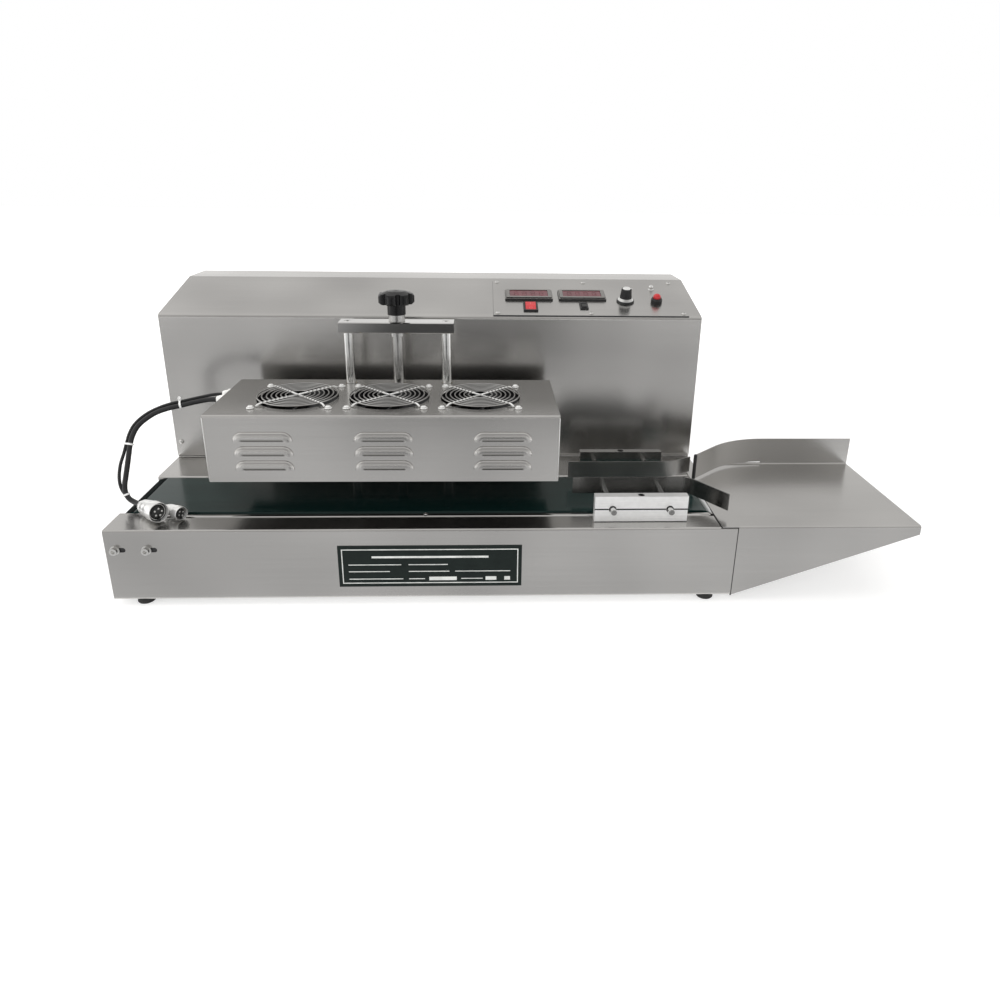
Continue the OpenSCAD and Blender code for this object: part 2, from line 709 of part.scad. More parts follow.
module power_rocker() color(red) rocker(rocker_at, rocker_size, 3, 2.5, 8);
module mode_switch_frame() color(black) switch_frame(toggle_at, toggle_size, 2, 2);
module mode_rocker() color(black) rocker(toggle_at, toggle_size, 2, 2, -8);
module speed_dial() color(chrome) on_panel(knob_at, sheet) difference() {
  union() {
    rotate_extrude() polygon([[0, 0], [dial_d / 2, 0], [dial_d / 2, 2], [dial_d / 2 - 0.8, 2.8],
      [knob_cap_d / 2 + 1, skirt_h], [0, skirt_h]]);
    translate([0, 0, -12]) cylinder(h = 13, d = 10);
    translate([0, 0, -30]) cylinder(h = 20, d = 24);
  }
  translate([0, 0, -8]) cylinder(h = 20, d = 6 + 2 * run_gap);
}
module speed_knob() color(black) on_panel(knob_at, sheet) {
  translate([0, 0, -7]) cylinder(h = 8 + skirt_h, d = 6);
  difference() {
    rotate_extrude() polygon([[0, skirt_h + 0.5], [knob_cap_d / 2 + 0.4, skirt_h + 0.5],
      [knob_cap_d / 2 + 0.4, skirt_h + 2], [knob_cap_d / 2, skirt_h + 2.6],
      [knob_cap_d / 2 - 1.2, 22], [knob_cap_d / 2 - 2.2, 23], [0, 23]]);
    for (a = [0:15:345])
      rotate(a) translate([knob_cap_d / 2 + 0.7, 0, skirt_h + 2.6]) cylinder(h = 11.5, d = 2.2, $fn = 24);
    translate([0, 0, 22.5]) cylinder(h = cut, d = knob_cap_d - 6);
    translate([knob_cap_d / 2 - 6, -0.5, 21.6]) cube([6, 1, 3]);
  }
}
module indicator_lamp() color(chrome) on_panel(lamp_at, sheet) {
  rotate_extrude() polygon([[0, 0], [lamp_d / 2, 0], [lamp_d / 2, 1.6], [lamp_dome_r, 2.4], [lamp_dome_r, 6],
    [lamp_dome_r - 0.8, 7.8], [lamp_dome_r - 2.2, 8.7], [0, 9]]);
  translate([0, 0, -22]) cylinder(h = 23, d = lamp_d - 3);
}
module button_collar() color(black) on_panel(button_at, sheet) difference() {
  union() {
    rotate_extrude() polygon([[0, 0], [button_d / 2, 0], [button_d / 2, 5], [button_d / 2 - 1.5, 8], [0, 8]]);
    translate([0, 0, -24]) cylinder(h = 25, d = button_d - 4);
  }
  translate([0, 0, -10]) cylinder(h = 30, d = 2 * plunger_r + 2 * run_gap);
}
module push_button() color(red) on_panel(button_at, sheet) rotate_extrude()
  polygon([[0, -4], [plunger_r, -4], [plunger_r, 10], [plunger_r - 0.7, 12], [plunger_r - 2.2, 13.8],
    [plunger_r - 4.2, 14.7], [0, 15]]);
module mains_gland() color(black) rod_turned(inlet_x, inlet_z);
module rod_turned(x, z) translate([x, base_d, z]) rotate([-90, 0, 0]) difference() {
  union() {
    translate([0, 0, -10]) cylinder(h = 11 + back_t, d = inlet_d - 6.5);
    translate([0, 0, back_t]) cylinder(h = 6, d = inlet_d, $fn = 6);
    translate([0, 0, -5.5]) cylinder(h = 5.5, d = inlet_d, $fn = 6);
    translate([0, 0, back_t + 6]) rotate_extrude() polygon([[0, 0], [inlet_d / 2 - 2, 0],
      [inlet_d / 2 - 2, 6], [inlet_d / 2 - 4.5, inlet_reach - 6], [0, inlet_reach - 6]]);
  }
  translate([0, 0, -12]) cylinder(h = inlet_reach + 20, d = 8);
}

// Generator inside the cabinet
module heat_sink() color(bright) {
  fin_pitch = (sink_size.y - fin_t) / (fins - 1);
  translate([sink_x, sink_y, base_h]) cube(sink_size);
  for (i = [0:fins - 1])
    translate([sink_x, sink_y + i * fin_pitch, base_h + 7]) cube([sink_size.x, fin_t, fin_h]);
}
module generator_board() color([0.1, 0.3, 0.15]) translate([board_x, sink_y, base_h]) {
  stand = 12;
  translate([0, 0, stand]) cube(board_size);
  for (x = [8, board_size.x - 8], y = [8, board_size.y - 8])
    translate([x, y, 0]) cylinder(h = stand + 1, d = 7);
  for (i = [1:3])
    translate([i * 50, 45, stand + 1]) cylinder(h = 50, d = 35);
  translate([60, 85, stand + 1]) cube([110, 40, 36]);
}

// Induction head
module louvre_side(shell) {
  steps = 5;
  top = louvre_h - shell;
  rise = louvre_rise - shell;
  lip = louvre_lip - shell;
  below = [for (i = [0:2]) [louvre_crest * i / 3, lip + (rise - lip) * sin(30 * i)]];
  above = [for (i = [0:steps]) [louvre_crest + (top - louvre_crest) * sin(90 * i / steps),
    rise * cos(90 * i / steps)]];
  polygon(concat([[0, -sheet / 2]], below, above, [[top, -sheet / 2]]));
}
module louvre(shell) {
  reach = louvre_l / 2 - louvre_h;
  translate([-reach, 0, 0]) rotate([180, -90, 0]) linear_extrude(2 * reach) louvre_side(shell);
  translate([reach, 0, 0]) rotate([90, 0, 0]) rotate_extrude(angle = 90) louvre_side(shell);
  translate([-reach, 0, 0]) rotate([90, 0, 0]) rotate(90) rotate_extrude(angle = 90) louvre_side(shell);
}
module louvre_places() for (column = [-1, 0, 1], row = [0:2])
  translate([head_mid + column * column_pitch, head_y, louvre_z + row * louvre_pitch]) children();
module louvre_mouth() {
  reach = louvre_l / 2 - louvre_h;
  depth = louvre_lip - louvre_wall;
  translate([-reach - 6, -depth, 0]) cube([2 * reach + 12, depth + sheet + cut, mouth_h]);
}
module head_edge(at, turn) translate([at.x, at.y, head_z - cut]) rotate(turn)
  linear_extrude(head_h + 2 * cut) difference() {
    translate([-cut, -cut]) square(head_edge_r + cut);
    translate([head_edge_r, head_edge_r]) circle(head_edge_r);
  }
module fan_places() for (i = [-1, 0, 1])
  translate([head_mid + i * fan_pitch, fan_y, 0]) children();
module fan_bolts() for (x = [-fan_bolt / 2, fan_bolt / 2], y = [-fan_bolt / 2, fan_bolt / 2])
  translate([x, y, 0]) children();
module column_places() {
  for (dx = [-post_span / 2, post_span / 2])
    translate([gantry_x + dx, post_y, 0]) children(0);
  translate([gantry_x, post_y, 0]) children(1);
}
module head_cover() color(steel) {
  half = sheet / 2;
  section = [[head_y + half, head_z], [head_y + half, head_top - half],
    [head_y + head_d - half, head_top - half], [head_y + head_d - half, head_z]];
  difference() {
    union() {
      along_x(head_x, head_l) polygon(folded(section));
      for (x = [head_x, head_x + head_l - sheet])
        along_x(x, sheet) polygon(rounded(section, fold_r, fold_steps));
      louvre_places() louvre(0);
    }
    louvre_places() louvre(louvre_wall);
    louvre_places() louvre_mouth();
    head_edge([head_x, head_y], 0);
    head_edge([head_x + head_l, head_y], 90);
    fan_places() {
      translate([0, 0, head_top - sheet - cut]) cylinder(h = sheet + 2 * cut, d = fan_hole_d);
      fan_bolts() translate([0, 0, head_top - sheet - cut])
        cylinder(h = sheet + 2 * cut, d = pan_d + 2 * hole_gap);
    }
    column_places() {
      translate([0, 0, head_top - sheet - cut]) cylinder(h = sheet + 2 * cut, d = post_d + 2);
      translate([0, 0, head_top - sheet - cut]) cylinder(h = sheet + 2 * cut, d = screw_d + 2);
    }
    for (y = gland_y)
      translate([head_x - cut, y, gland_z]) rotate([0, 90, 0]) cylinder(h = sheet + 2 * cut, d = 8.5);
  }
}
module coil_plate() color(white) difference() {
  translate([head_x + sheet, head_y + sheet, head_z])
    cube([head_l - 2 * sheet, head_d - 2 * sheet, coil_t]);
  column_places() {
    translate([0, 0, head_z - cut]) cylinder(h = coil_t + 2 * cut, d = post_d + 2);
    translate([0, 0, head_z - cut]) cylinder(h = coil_t + 2 * cut, d = screw_d + 2);
  }
}
module track(w) {
  for (x = [-coil_l / 2, coil_l / 2])
    translate([x, 0]) circle(d = w);
  translate([-coil_l / 2, -w / 2]) square([coil_l, w]);
}
module induction_coil() color(copper)
  translate([head_mid, lane_y, head_z + coil_t]) for (i = [0:coil_turns - 1])
    linear_extrude(coil_h) difference() {
      track(coil_w - i * coil_pitch);
      track(coil_w - i * coil_pitch - coil_pitch + 4);
    }
module lift_bushes() color(brass) {
  bush_z = head_top - sheet - bush_l;
  column_places() {
    translate([0, 0, bush_z]) difference() {
      cylinder(h = bush_l, d = post_d + bush_wall);
      translate([0, 0, -cut]) cylinder(h = bush_l + 2 * cut, d = post_d + 2 * run_gap);
    }
    translate([0, 0, bush_z]) difference() {
      cylinder(h = bush_l, d = screw_d + bush_wall);
      translate([0, 0, -cut]) cylinder(h = bush_l + 2 * cut, d = screw_d + 2 * run_gap);
    }
  }
}
module cord_glands() color(white)
  for (y = gland_y)
    translate([head_x, y, gland_z]) rotate([0, -90, 0]) difference() {
      rotate_extrude() polygon([[0, -sheet - 3], [4, -sheet - 3], [4, 0], [8, 0], [8, 5], [6.5, 6],
        [6, 10], [4.5, gland_reach], [0, gland_reach]]);
      translate([0, 0, -8]) cylinder(h = gland_reach + 7.5, d = 3);
    }

// Fans
module fan_frames() color(black) fan_places() translate([0, 0, fan_z]) {
  difference() {
    translate([-fan_w / 2, -fan_w / 2, 0]) cube([fan_w, fan_w, fan_t]);
    translate([0, 0, -cut]) cylinder(h = fan_t + 2 * cut, d = fan_duct_d);
    fan_bolts() translate([0, 0, -cut]) cylinder(h = fan_t + 2 * cut, d = pan_d + 2 * hole_gap);
  }
  cylinder(h = 3, d = fan_hub_d);
  translate([0, 0, 2]) cylinder(h = fan_t - 8.5, d = pin_d);
  for (a = [45:90:315])
    rotate(a) translate([fan_hub_d / 2 - 2, -2.5, 0]) cube([fan_duct_d / 2 - fan_hub_d / 2 + 3, 5, 3]);
}
module fan_rotor(i) color(black) translate([head_mid + i * fan_pitch, fan_y, fan_z]) difference() {
  union() {
    translate([0, 0, 3.3]) cylinder(h = fan_t - 5, d = fan_hub_d - 2);
    intersection() {
      translate([0, 0, 4]) cylinder(h = fan_t - 6, d = fan_duct_d - 3);
      for (k = [1:fan_blades])
        rotate(k * 360 / fan_blades) translate([fan_hub_d / 2 - 4, 0, fan_t / 2]) rotate([38, 0, 0])
          translate([0, -17, -0.9]) cube([fan_duct_d / 2, 34, 1.8]);
    }
  }
  translate([0, 0, -cut]) cylinder(h = fan_t - 5, d = pin_d + 2 * run_gap);
}
module fan_rotor_left() fan_rotor(-1);
module fan_rotor_middle() fan_rotor(0);
module fan_rotor_right() fan_rotor(1);
module guard_arm() {
  lug = fan_bolt / sqrt(2);
  shoulder = fan_hole_d / 2 + 4;
  line = [[0, ring_z + wire_d * 0.8], [shoulder, ring_z + wire_d * 0.8], [lug - 4, wire_d / 2],
    [lug - 3, wire_d / 2]];
  translate([0, wire_d / 2, 0]) rotate([90, 0, 0]) linear_extrude(wire_d)
    polygon(folded(line, 2, 3, wire_d));
  translate([lug, 0, 0]) difference() {
    cylinder(h = wire_d, d = 10);
    translate([0, 0, -cut]) cylinder(h = wire_d + 2 * cut, d = pan_d + 2 * hole_gap);
  }
}
module fan_guards() color(chrome) fan_places() translate([0, 0, head_top]) {
  for (a = [45:90:315])
    rotate(a) guard_arm();
  for (i = [0:guard_rings - 1])
    translate([0, 0, ring_z]) rotate_extrude()
      translate([fan_hole_d / 2 - 1 - i * ring_pitch, 0]) rotate(22.5) circle(d = wire_d, $fn = 8);
}
module guard_screws() color(chrome)
  fan_places() translate([0, 0, head_top + wire_d]) fan_bolts() pan_screw(12);

// Gantry
module guide_posts() color(chrome)
  for (dx = [-post_span / 2, post_span / 2])
    translate([gantry_x + dx, post_y, base_h]) cylinder(h = bar_rise + post_sink, d = post_d);
module crossbar() color(bright) difference() {
  translate([gantry_x - bar_l / 2, post_y - bar_d / 2, bar_z]) rotate([90, 0, 90]) linear_extrude(bar_l)
    polygon([[bar_edge, 0], [bar_d - bar_edge, 0], [bar_d, bar_edge], [bar_d, bar_h - bar_edge],
      [bar_d - bar_edge, bar_h], [bar_edge, bar_h], [0, bar_h - bar_edge], [0, bar_edge]]);
  column_places() {
    translate([0, 0, bar_z - cut]) {
      cylinder(h = post_sink + cut + 0.2, d = post_d + 2 * run_gap);
      cylinder(h = bar_h + 2 * cut, d = 6.4);
      translate([0, 0, bar_h - 1.5]) cylinder(h = 4, d = 10.6);
    }
    translate([0, 0, bar_z - cut]) cylinder(h = bar_h + 2 * cut, d = screw_d + 2 * run_gap);
  }
}
module crossbar_screws()
  for (dx = [-post_span / 2, post_span / 2])
    translate([gantry_x + dx, post_y, bar_z + post_sink + 0.2]) difference() {
      union() {
        cylinder(h = bar_h - post_sink - 1, d = 6);
        translate([0, 0, bar_h - post_sink - 2.7]) cylinder(h = 2.2, d = 10);
      }
      translate([0, 0, bar_h - post_sink - 2]) cylinder(h = 3, d = 5, $fn = 6);
    }
module lift_screw() color(chrome) {
  translate([gantry_x, post_y, base_h + screw_foot]) cylinder(h = star_z - base_h - screw_foot, d = screw_d);
  translate([gantry_x, post_y, bar_top + 0.2]) cylinder(h = star_z - 16 - bar_top - 0.2, d = collar_d);
  translate([gantry_x, post_y, bar_z - 6.2]) cylinder(h = 6, d = screw_d + 5);
}
module star_outline() {
  circle(d = star_d - 12);
  for (a = [0:360 / 7:359])
    rotate(a) translate([star_d / 2 - 7.5, 0]) circle(d = 15);
}
module lift_knob() color(black) translate([gantry_x, post_y, star_z]) difference() {
  union() {
    translate([0, 0, -16]) cylinder(h = 20, d = hub_d);
    intersection() {
      linear_extrude(star_h) star_outline();
      rotate_extrude() polygon([[0, 0], [star_d / 2 - 3, 0], [star_d / 2, 3], [star_d / 2, star_h - 8],
        [star_d / 2 - 2, star_h - 5], [star_d / 4, star_h - 1.2], [0, star_h]]);
    }
  }
  translate([0, 0, -16 - cut]) cylinder(h = 16 + cut + 0.2, d = screw_d + 2 * run_gap);
}

// Cords: tubes swept along their routes, with a plug on the end of each
function smooth(a, b, c, d, t) =
  (2 * b + (c - a) * t + (2 * a - 5 * b + 4 * c - d) * t * t + (3 * b - a - 3 * c + d) * t * t * t) / 2;
function curve(p, n) = let (last = len(p) - 1)
  [for (i = [0:last - 1], k = [0:n - 1])
    smooth(p[max(i - 1, 0)], p[i], p[i + 1], p[min(i + 2, last)], k / n), p[last]];
function ring(at, way, r, n) = let (u = unit(cross(way, [0, 1, 0])), v = cross(u, way))
  [for (k = [0:n - 1]) at + r * (cos(360 * k / n) * u + sin(360 * k / n) * v)];
module tube(route, d, n, steps) {
  line = curve(route, steps);
  last = len(line) - 1;
  rings = [for (i = [0:last]) ring(line[i], unit(line[min(i + 1, last)] - line[max(i - 1, 0)]), d / 2, n)];
  sides = [for (i = [0:last - 1], k = [0:n - 1])
    [i * n + k, i * n + (k + 1) % n, (i + 1) * n + (k + 1) % n, (i + 1) * n + k]];
  first_cap = [for (k = [n - 1:-1:0]) k];
  last_cap = [for (k = [0:n - 1]) last * n + k];
  polyhedron([for (r = rings) each r], concat([first_cap], sides, [last_cap]));
}
module power_cord() color(black) tube(power_route, power_cord_d, 10, 2);
module signal_cord() color(black) tube(signal_route, signal_cord_d, 8, 2);
module plug_body(d, l) rotate_extrude() polygon([[0, 0], [d * 0.24, 0], [d * 0.3, l * 0.2],
  [d * 0.33, l * 0.3], [d * 0.4, l * 0.4], [d * 0.4, l * 0.62], [d / 2, l * 0.66], [d / 2, l * 0.97],
  [d / 2 - 1, l], [d * 0.4, l], [d * 0.4, l * 0.85], [0, l * 0.85]]);
module power_plug() color(bright) translate(power_route[len(power_route) - 1]) rotate(power_plug_turn)
  translate([0, 0, plug_gap]) plug_body(power_plug_d, 45);
module signal_plug() color(bright) translate(signal_route[len(signal_route) - 1]) rotate(signal_plug_turn)
  translate([0, 0, plug_gap]) plug_body(signal_plug_d, 30);

place() base_shell();
place() feet();
place() slider_bed();
place() conveyor_belt();
place() tail_roller();
place() drive_roller();
place() tail_bearings();
place() drive_bearings();
place() tension_bolts();
place() shaft_coupling();
place() gear_motor();
place() nameplate();
place() feed_table();
place() front_block_lower();
place() front_block_upper();
place() front_guide_rods();
place() front_guide_rail();
place() rear_block_lower();
place() rear_block_upper();
place() rear_guide_rods();
place() rear_guide_rail();
place() clamp_screws();
place() cabinet_shell();
place() cabinet_back();
place() panel_screws();
place() control_plate();
place() meter_left();
place() meter_right();
place() meter_lenses();
place() power_switch_frame();
place() power_rocker();
place() mode_switch_frame();
place() mode_rocker();
place() speed_dial();
place() speed_knob();
place() indicator_lamp();
place() button_collar();
place() push_button();
place() mains_gland();
place() heat_sink();
place() generator_board();
place() head_cover();
place() coil_plate();
place() induction_coil();
place() fan_frames();
place() fan_rotor_left();
place() fan_rotor_middle();
place() fan_rotor_right();
place() fan_guards();
place() guard_screws();
place() guide_posts();
place() crossbar();
place() lift_screw();
place() lift_knob();
place() lift_bushes();
place() cord_glands();
place() power_cord();
place() signal_cord();
place() power_plug();
place() signal_plug();
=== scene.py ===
import json
import math

import bmesh
import bpy
from mathutils import Matrix, Vector


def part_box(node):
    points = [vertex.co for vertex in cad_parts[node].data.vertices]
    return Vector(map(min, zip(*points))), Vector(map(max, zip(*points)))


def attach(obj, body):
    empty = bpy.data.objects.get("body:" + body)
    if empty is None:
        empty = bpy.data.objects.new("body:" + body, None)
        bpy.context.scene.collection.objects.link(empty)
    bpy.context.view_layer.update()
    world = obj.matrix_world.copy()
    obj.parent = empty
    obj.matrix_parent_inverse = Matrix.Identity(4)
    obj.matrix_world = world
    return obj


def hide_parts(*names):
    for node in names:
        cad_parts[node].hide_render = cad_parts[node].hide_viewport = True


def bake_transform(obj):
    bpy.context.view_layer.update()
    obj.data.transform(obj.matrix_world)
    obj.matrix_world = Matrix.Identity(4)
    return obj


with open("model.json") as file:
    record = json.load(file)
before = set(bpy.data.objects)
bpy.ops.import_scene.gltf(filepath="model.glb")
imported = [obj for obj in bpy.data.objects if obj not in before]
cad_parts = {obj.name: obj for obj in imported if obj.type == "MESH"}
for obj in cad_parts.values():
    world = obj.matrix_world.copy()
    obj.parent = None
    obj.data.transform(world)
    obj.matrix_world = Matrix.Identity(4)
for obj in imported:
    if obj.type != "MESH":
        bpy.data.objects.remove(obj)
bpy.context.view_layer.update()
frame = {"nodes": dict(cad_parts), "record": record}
nodes = frame["nodes"]
scene = bpy.context.scene

# Positions below are in millimetres from the base's front left corner on the floor.
MID_X, MID_Y = 553.9, 254.0


# The console leans back by this much.
SLOPE = math.radians(14.4)


def at(x, y, z):
    return Vector((x - MID_X, y - MID_Y, z)) / 1000


# Camera, fitted to the photograph

CAMERA_TURN = (19.436, 2.330, 0.798)
CAMERA_AT = (508.93, -906.2, 582.2)
CAMERA_SENSOR, CAMERA_LENS = 36, 26.72
CAMERA_SHIFT = (-0.0119, -0.0722)


def add_camera():
    pitch, yaw, roll = (math.radians(a) for a in CAMERA_TURN)
    forward = Vector((math.sin(yaw) * math.cos(pitch), math.cos(yaw) * math.cos(pitch), -math.sin(pitch)))
    right = Vector((math.cos(yaw), -math.sin(yaw), 0))
    up = right.cross(forward)
    across = right * math.cos(roll) + up * math.sin(roll)
    upward = up * math.cos(roll) - right * math.sin(roll)
    data = bpy.data.cameras.new("camera")
    data.sensor_width, data.lens = CAMERA_SENSOR, CAMERA_LENS
    data.shift_x, data.shift_y = CAMERA_SHIFT
    camera = bpy.data.objects.new("camera", data)
    scene.collection.objects.link(camera)
    turn = Matrix((across, upward, -forward)).transposed().to_4x4()
    camera.matrix_world = Matrix.Translation(at(*CAMERA_AT)) @ turn
    scene.camera = camera


add_camera()

# Materials: one node graph per kind of surface


class Surface:
    """A Principled material with a few shorthand calls for its node graph."""

    def __init__(self, name, **values):
        self.material = bpy.data.materials.new(name)
        self.material.use_nodes = True
        self.tree = self.material.node_tree
        self.shader = self.tree.nodes["Principled BSDF"]
        for key, value in values.items():
            self.shader.inputs[key.replace("_", " ")].default_value = value

    def node(self, kind, inputs=None, **settings):
        made = self.tree.nodes.new("ShaderNode" + kind)
        for key, value in settings.items():
            setattr(made, key, value)
        for key, value in (inputs or {}).items():
            if isinstance(value, bpy.types.NodeSocket):
                self.tree.links.new(value, made.inputs[key])
            else:
                made.inputs[key].default_value = value
        return made

    def feed(self, key, socket):
        self.tree.links.new(socket, self.shader.inputs[key])

    def place(self):
        return self.node("TexCoord").outputs["Object"]

    def scaled(self, vector, scale):
        return self.node("VectorMath", {0: vector, 1: scale}, operation="MULTIPLY").outputs[0]

    def noise(self, vector, scale, detail=3.0, rough=0.5):
        made = self.node("TexNoise", {"Vector": vector, "Scale": scale, "Detail": detail, "Roughness": rough})
        return made.outputs["Fac"]

    def spread(self, value, low, high, start=0.3, end=0.7):
        made = self.node("MapRange", {"Value": value, "From Min": start, "From Max": end,
                                      "To Min": low, "To Max": high})
        return made.outputs["Result"]

    def tint(self, value, dark, light, start=0.3, end=0.7):
        ramp = self.node("ValToRGB", {"Fac": value})
        ramp.color_ramp.elements[0].position = start
        ramp.color_ramp.elements[0].color = (*dark, 1)
        ramp.color_ramp.elements[1].position = end
        ramp.color_ramp.elements[1].color = (*light, 1)
        return ramp.outputs["Color"]

    def mixed(self, factor, a, b, blend="MIX"):
        made = self.node("Mix", data_type="RGBA", blend_type=blend)
        for socket, value in ((made.inputs[0], factor), (made.inputs[6], a), (made.inputs[7], b)):
            if isinstance(value, bpy.types.NodeSocket):
                self.tree.links.new(value, socket)
            else:
                socket.default_value = value
        return made.outputs[2]

    def times(self, a, b):
        return self.mixed(1.0, a, b, "MULTIPLY")

    def facing(self):
        """X, Y and Z of the surface's own direction."""
        return self.node("SeparateXYZ", {0: self.node("NewGeometry").outputs["Normal"]}).outputs

    def sum(self, a, b):
        return self.node("Math", {0: a, 1: b}, operation="ADD").outputs[0]

    def bump(self, height, strength, distance):
        made = self.node("Bump", {"Height": height, "Strength": strength, "Distance": distance})
        self.feed("Normal", made.outputs["Normal"])


def scaled_tint(colour, factor):
    return tuple(min(1.0, c * factor) for c in colour)


def brushed(name, colour, rough, anisotropic=0.4, contrast=0.03, cloud=0.15, down_shade=1.0):
    """Brushed sheet: fine grain along X, or along Y on faces that look along X, with faint smudges.

    Faces that look down are darkened by the last argument: painted shade for the dark reflections beneath the head's
    pressed louvres. The roughness varies little, so that it stays on one side of
    0.274 all over: where a metal crosses that, the denoiser draws contour lines."""
    s = Surface(name, Metallic=1.0, Anisotropic=anisotropic)
    place = s.place()
    along, _, upward = s.facing()
    end_face = s.node("Math", {0: s.node("Math", {0: along}, operation="ABSOLUTE").outputs[0], 1: 0.7},
                      operation="GREATER_THAN").outputs[0]
    grain = s.mixed(end_face, s.scaled(place, (5, 700, 700)), s.scaled(place, (700, 5, 700)))
    fine = s.noise(grain, 1.0, 2.0, 0.5)
    streak = s.noise(grain, 0.2, 2.0, 0.5)
    smudge = s.noise(place, 5.5, 1.0, 0.45)
    rubbed = s.noise(s.scaled(place, (6, 20, 20)), 1.0, 1.0, 0.45)
    sheet = s.tint(fine, scaled_tint(colour, 1 - contrast), scaled_tint(colour, 1 + contrast), 0.1, 0.9)
    lines = s.tint(streak, (1 - contrast,) * 3, (1, 1, 1), 0.15, 0.85)
    veil = s.tint(smudge, (1 - 2 * cloud,) * 3, (1 + cloud,) * 3, 0.05, 0.95)
    tone = s.times(s.times(sheet, lines), veil)
    # Painted shade: faces that look down are darkened.
    if down_shade < 1.0:
        level = s.tint(s.spread(upward, 0.0, 1.0, -0.42, -0.06), (down_shade,) * 3, (1, 1, 1), 0.0, 1.0)
        tone = s.times(tone, level)
    s.feed("Base Color", tone)
    worn = s.spread(rubbed, rough - 0.035, rough + 0.015, 0.1, 0.9)
    s.feed("Roughness", s.sum(worn, s.spread(smudge, -0.02, 0.013, 0.1, 0.9)))
    s.feed("Tangent", s.node("Tangent", direction_type="RADIAL", axis="X").outputs[0])
    s.bump(streak, 0.004, 0.0001)
    return s.material


def polished(name, colour, rough, wear=0.05, metallic=1.0):
    """Turned, plated or polished metal: faint haze and fine lines."""
    s = Surface(name, Metallic=metallic)
    place = s.place()
    haze = s.noise(place, 60.0, 1.0, 0.5)
    lines = s.noise(s.scaled(place, (900, 900, 60)), 1.0, 2.0, 0.5)
    s.feed("Base Color", s.tint(haze, scaled_tint(colour, 0.93), colour))
    s.feed("Roughness", s.spread(haze, rough, rough + wear))
    s.bump(lines, 0.005, 0.0001)
    return s.material


def milled(name, colour, rough, metallic=1.0, up_shade=1.0):
    """Milled aluminium: matt, with fine cutter lines along X and small marks; the last argument darkens the faces
    that look up, as painted shade for their dark reflections.
    """
    s = Surface(name, Metallic=metallic)
    place = s.place()
    cutter = s.noise(s.scaled(place, (25, 900, 900)), 1.0, 3.0, 0.6)
    marks = s.noise(place, 140.0, 3.0, 0.5)
    metal = s.times(s.tint(cutter, scaled_tint(colour, 0.9), colour), s.tint(marks, (0.93,) * 3, (1, 1, 1)))
    # Painted shade: faces that look up are darkened by the last argument.
    s.feed("Base Color", s.times(metal, s.tint(s.facing()[2], (1, 1, 1), (up_shade,) * 3, 0.5, 0.8)))
    s.feed("Roughness", s.spread(cutter, rough - 0.05, rough + 0.08))
    s.bump(cutter, 0.12, 0.0002)
    return s.material


def moulded(name, colour, rough, grain=900.0, depth=0.15, coat=0.0, specular=0.5):
    """Moulded plastic or rubber: fine pebble grain and slight colour and gloss changes."""
    s = Surface(name, Coat_Weight=coat, Coat_Roughness=0.15, Specular_IOR_Level=specular)
    place = s.place()
    pebble = s.noise(place, grain, 2.0, 0.5)
    dust = s.noise(place, 45.0, 5.0, 0.65)
    s.feed("Base Color", s.tint(dust, scaled_tint(colour, 0.8), scaled_tint(colour, 1.25)))
    s.feed("Roughness", s.spread(dust, rough - 0.06, rough + 0.08))
    s.bump(pebble, depth, 0.0002)
    return s.material


def belt_surface():
    """Green coated belt: glossy, with a faint woven grain and scuffs; at its wrapped left end the faces that look
    left get painted shade that turns them black, and are matt.
    """
    s = Surface("belt_green", Specular_IOR_Level=0.5)
    place = s.place()
    weave = s.noise(place, 700.0, 2.0, 0.5)
    scuff = s.noise(s.scaled(place, (4, 90, 90)), 1.0, 5.0, 0.65)
    # Painted shade: faces that look left, round the belt's end, go black.
    end_shade = s.spread(s.facing()[0], 1.0, 0.0, -0.5, -0.15)
    green = s.tint(scuff, (0.003, 0.015, 0.014), (0.007, 0.025, 0.023))
    s.feed("Base Color", s.mixed(end_shade, green, (0.002, 0.004, 0.004, 1)))
    s.feed("Roughness", s.sum(s.spread(scuff, 0.11, 0.2), s.spread(end_shade, 0.0, 0.5, 0.0, 1.0)))
    s.bump(weave, 0.05, 0.0001)
    return s.material


def printed_plate():
    """Dark lacquered plate, slightly mottled."""
    s = Surface("nameplate", Specular_IOR_Level=0.25)
    mottling = s.noise(s.place(), 70.0, 4.0, 0.6)
    s.feed("Base Color", s.tint(mottling, (0.006, 0.011, 0.010), (0.010, 0.017, 0.015)))
    s.feed("Roughness", s.spread(mottling, 0.36, 0.5))
    return s.material


def bezel_painted_shade():
    """Grey moulded bezel on the faces that look out of the console, with painted shade that makes its sides near
    black.
    """
    s = Surface("bezel_grey")
    place = s.place()
    normal = s.node("NewGeometry").outputs["Normal"]
    out = (0, -math.sin(SLOPE), math.cos(SLOPE))
    facing = s.node("VectorMath", {0: normal, 1: out}, operation="DOT_PRODUCT").outputs["Value"]
    dust = s.noise(place, 45.0, 5.0, 0.65)
    grey = s.tint(dust, (0.15, 0.145, 0.14), (0.20, 0.195, 0.185))
    # Painted shade: the sides, which don't look out of the console, turn near black.
    s.feed("Base Color", s.mixed(s.spread(facing, 0, 1, 0.7, 0.95), (0.02, 0.02, 0.021, 1), grey))
    s.feed("Roughness", s.spread(dust, 0.36, 0.5))
    s.bump(s.noise(place, 900.0, 2.0, 0.5), 0.15, 0.0002)
    return s.material


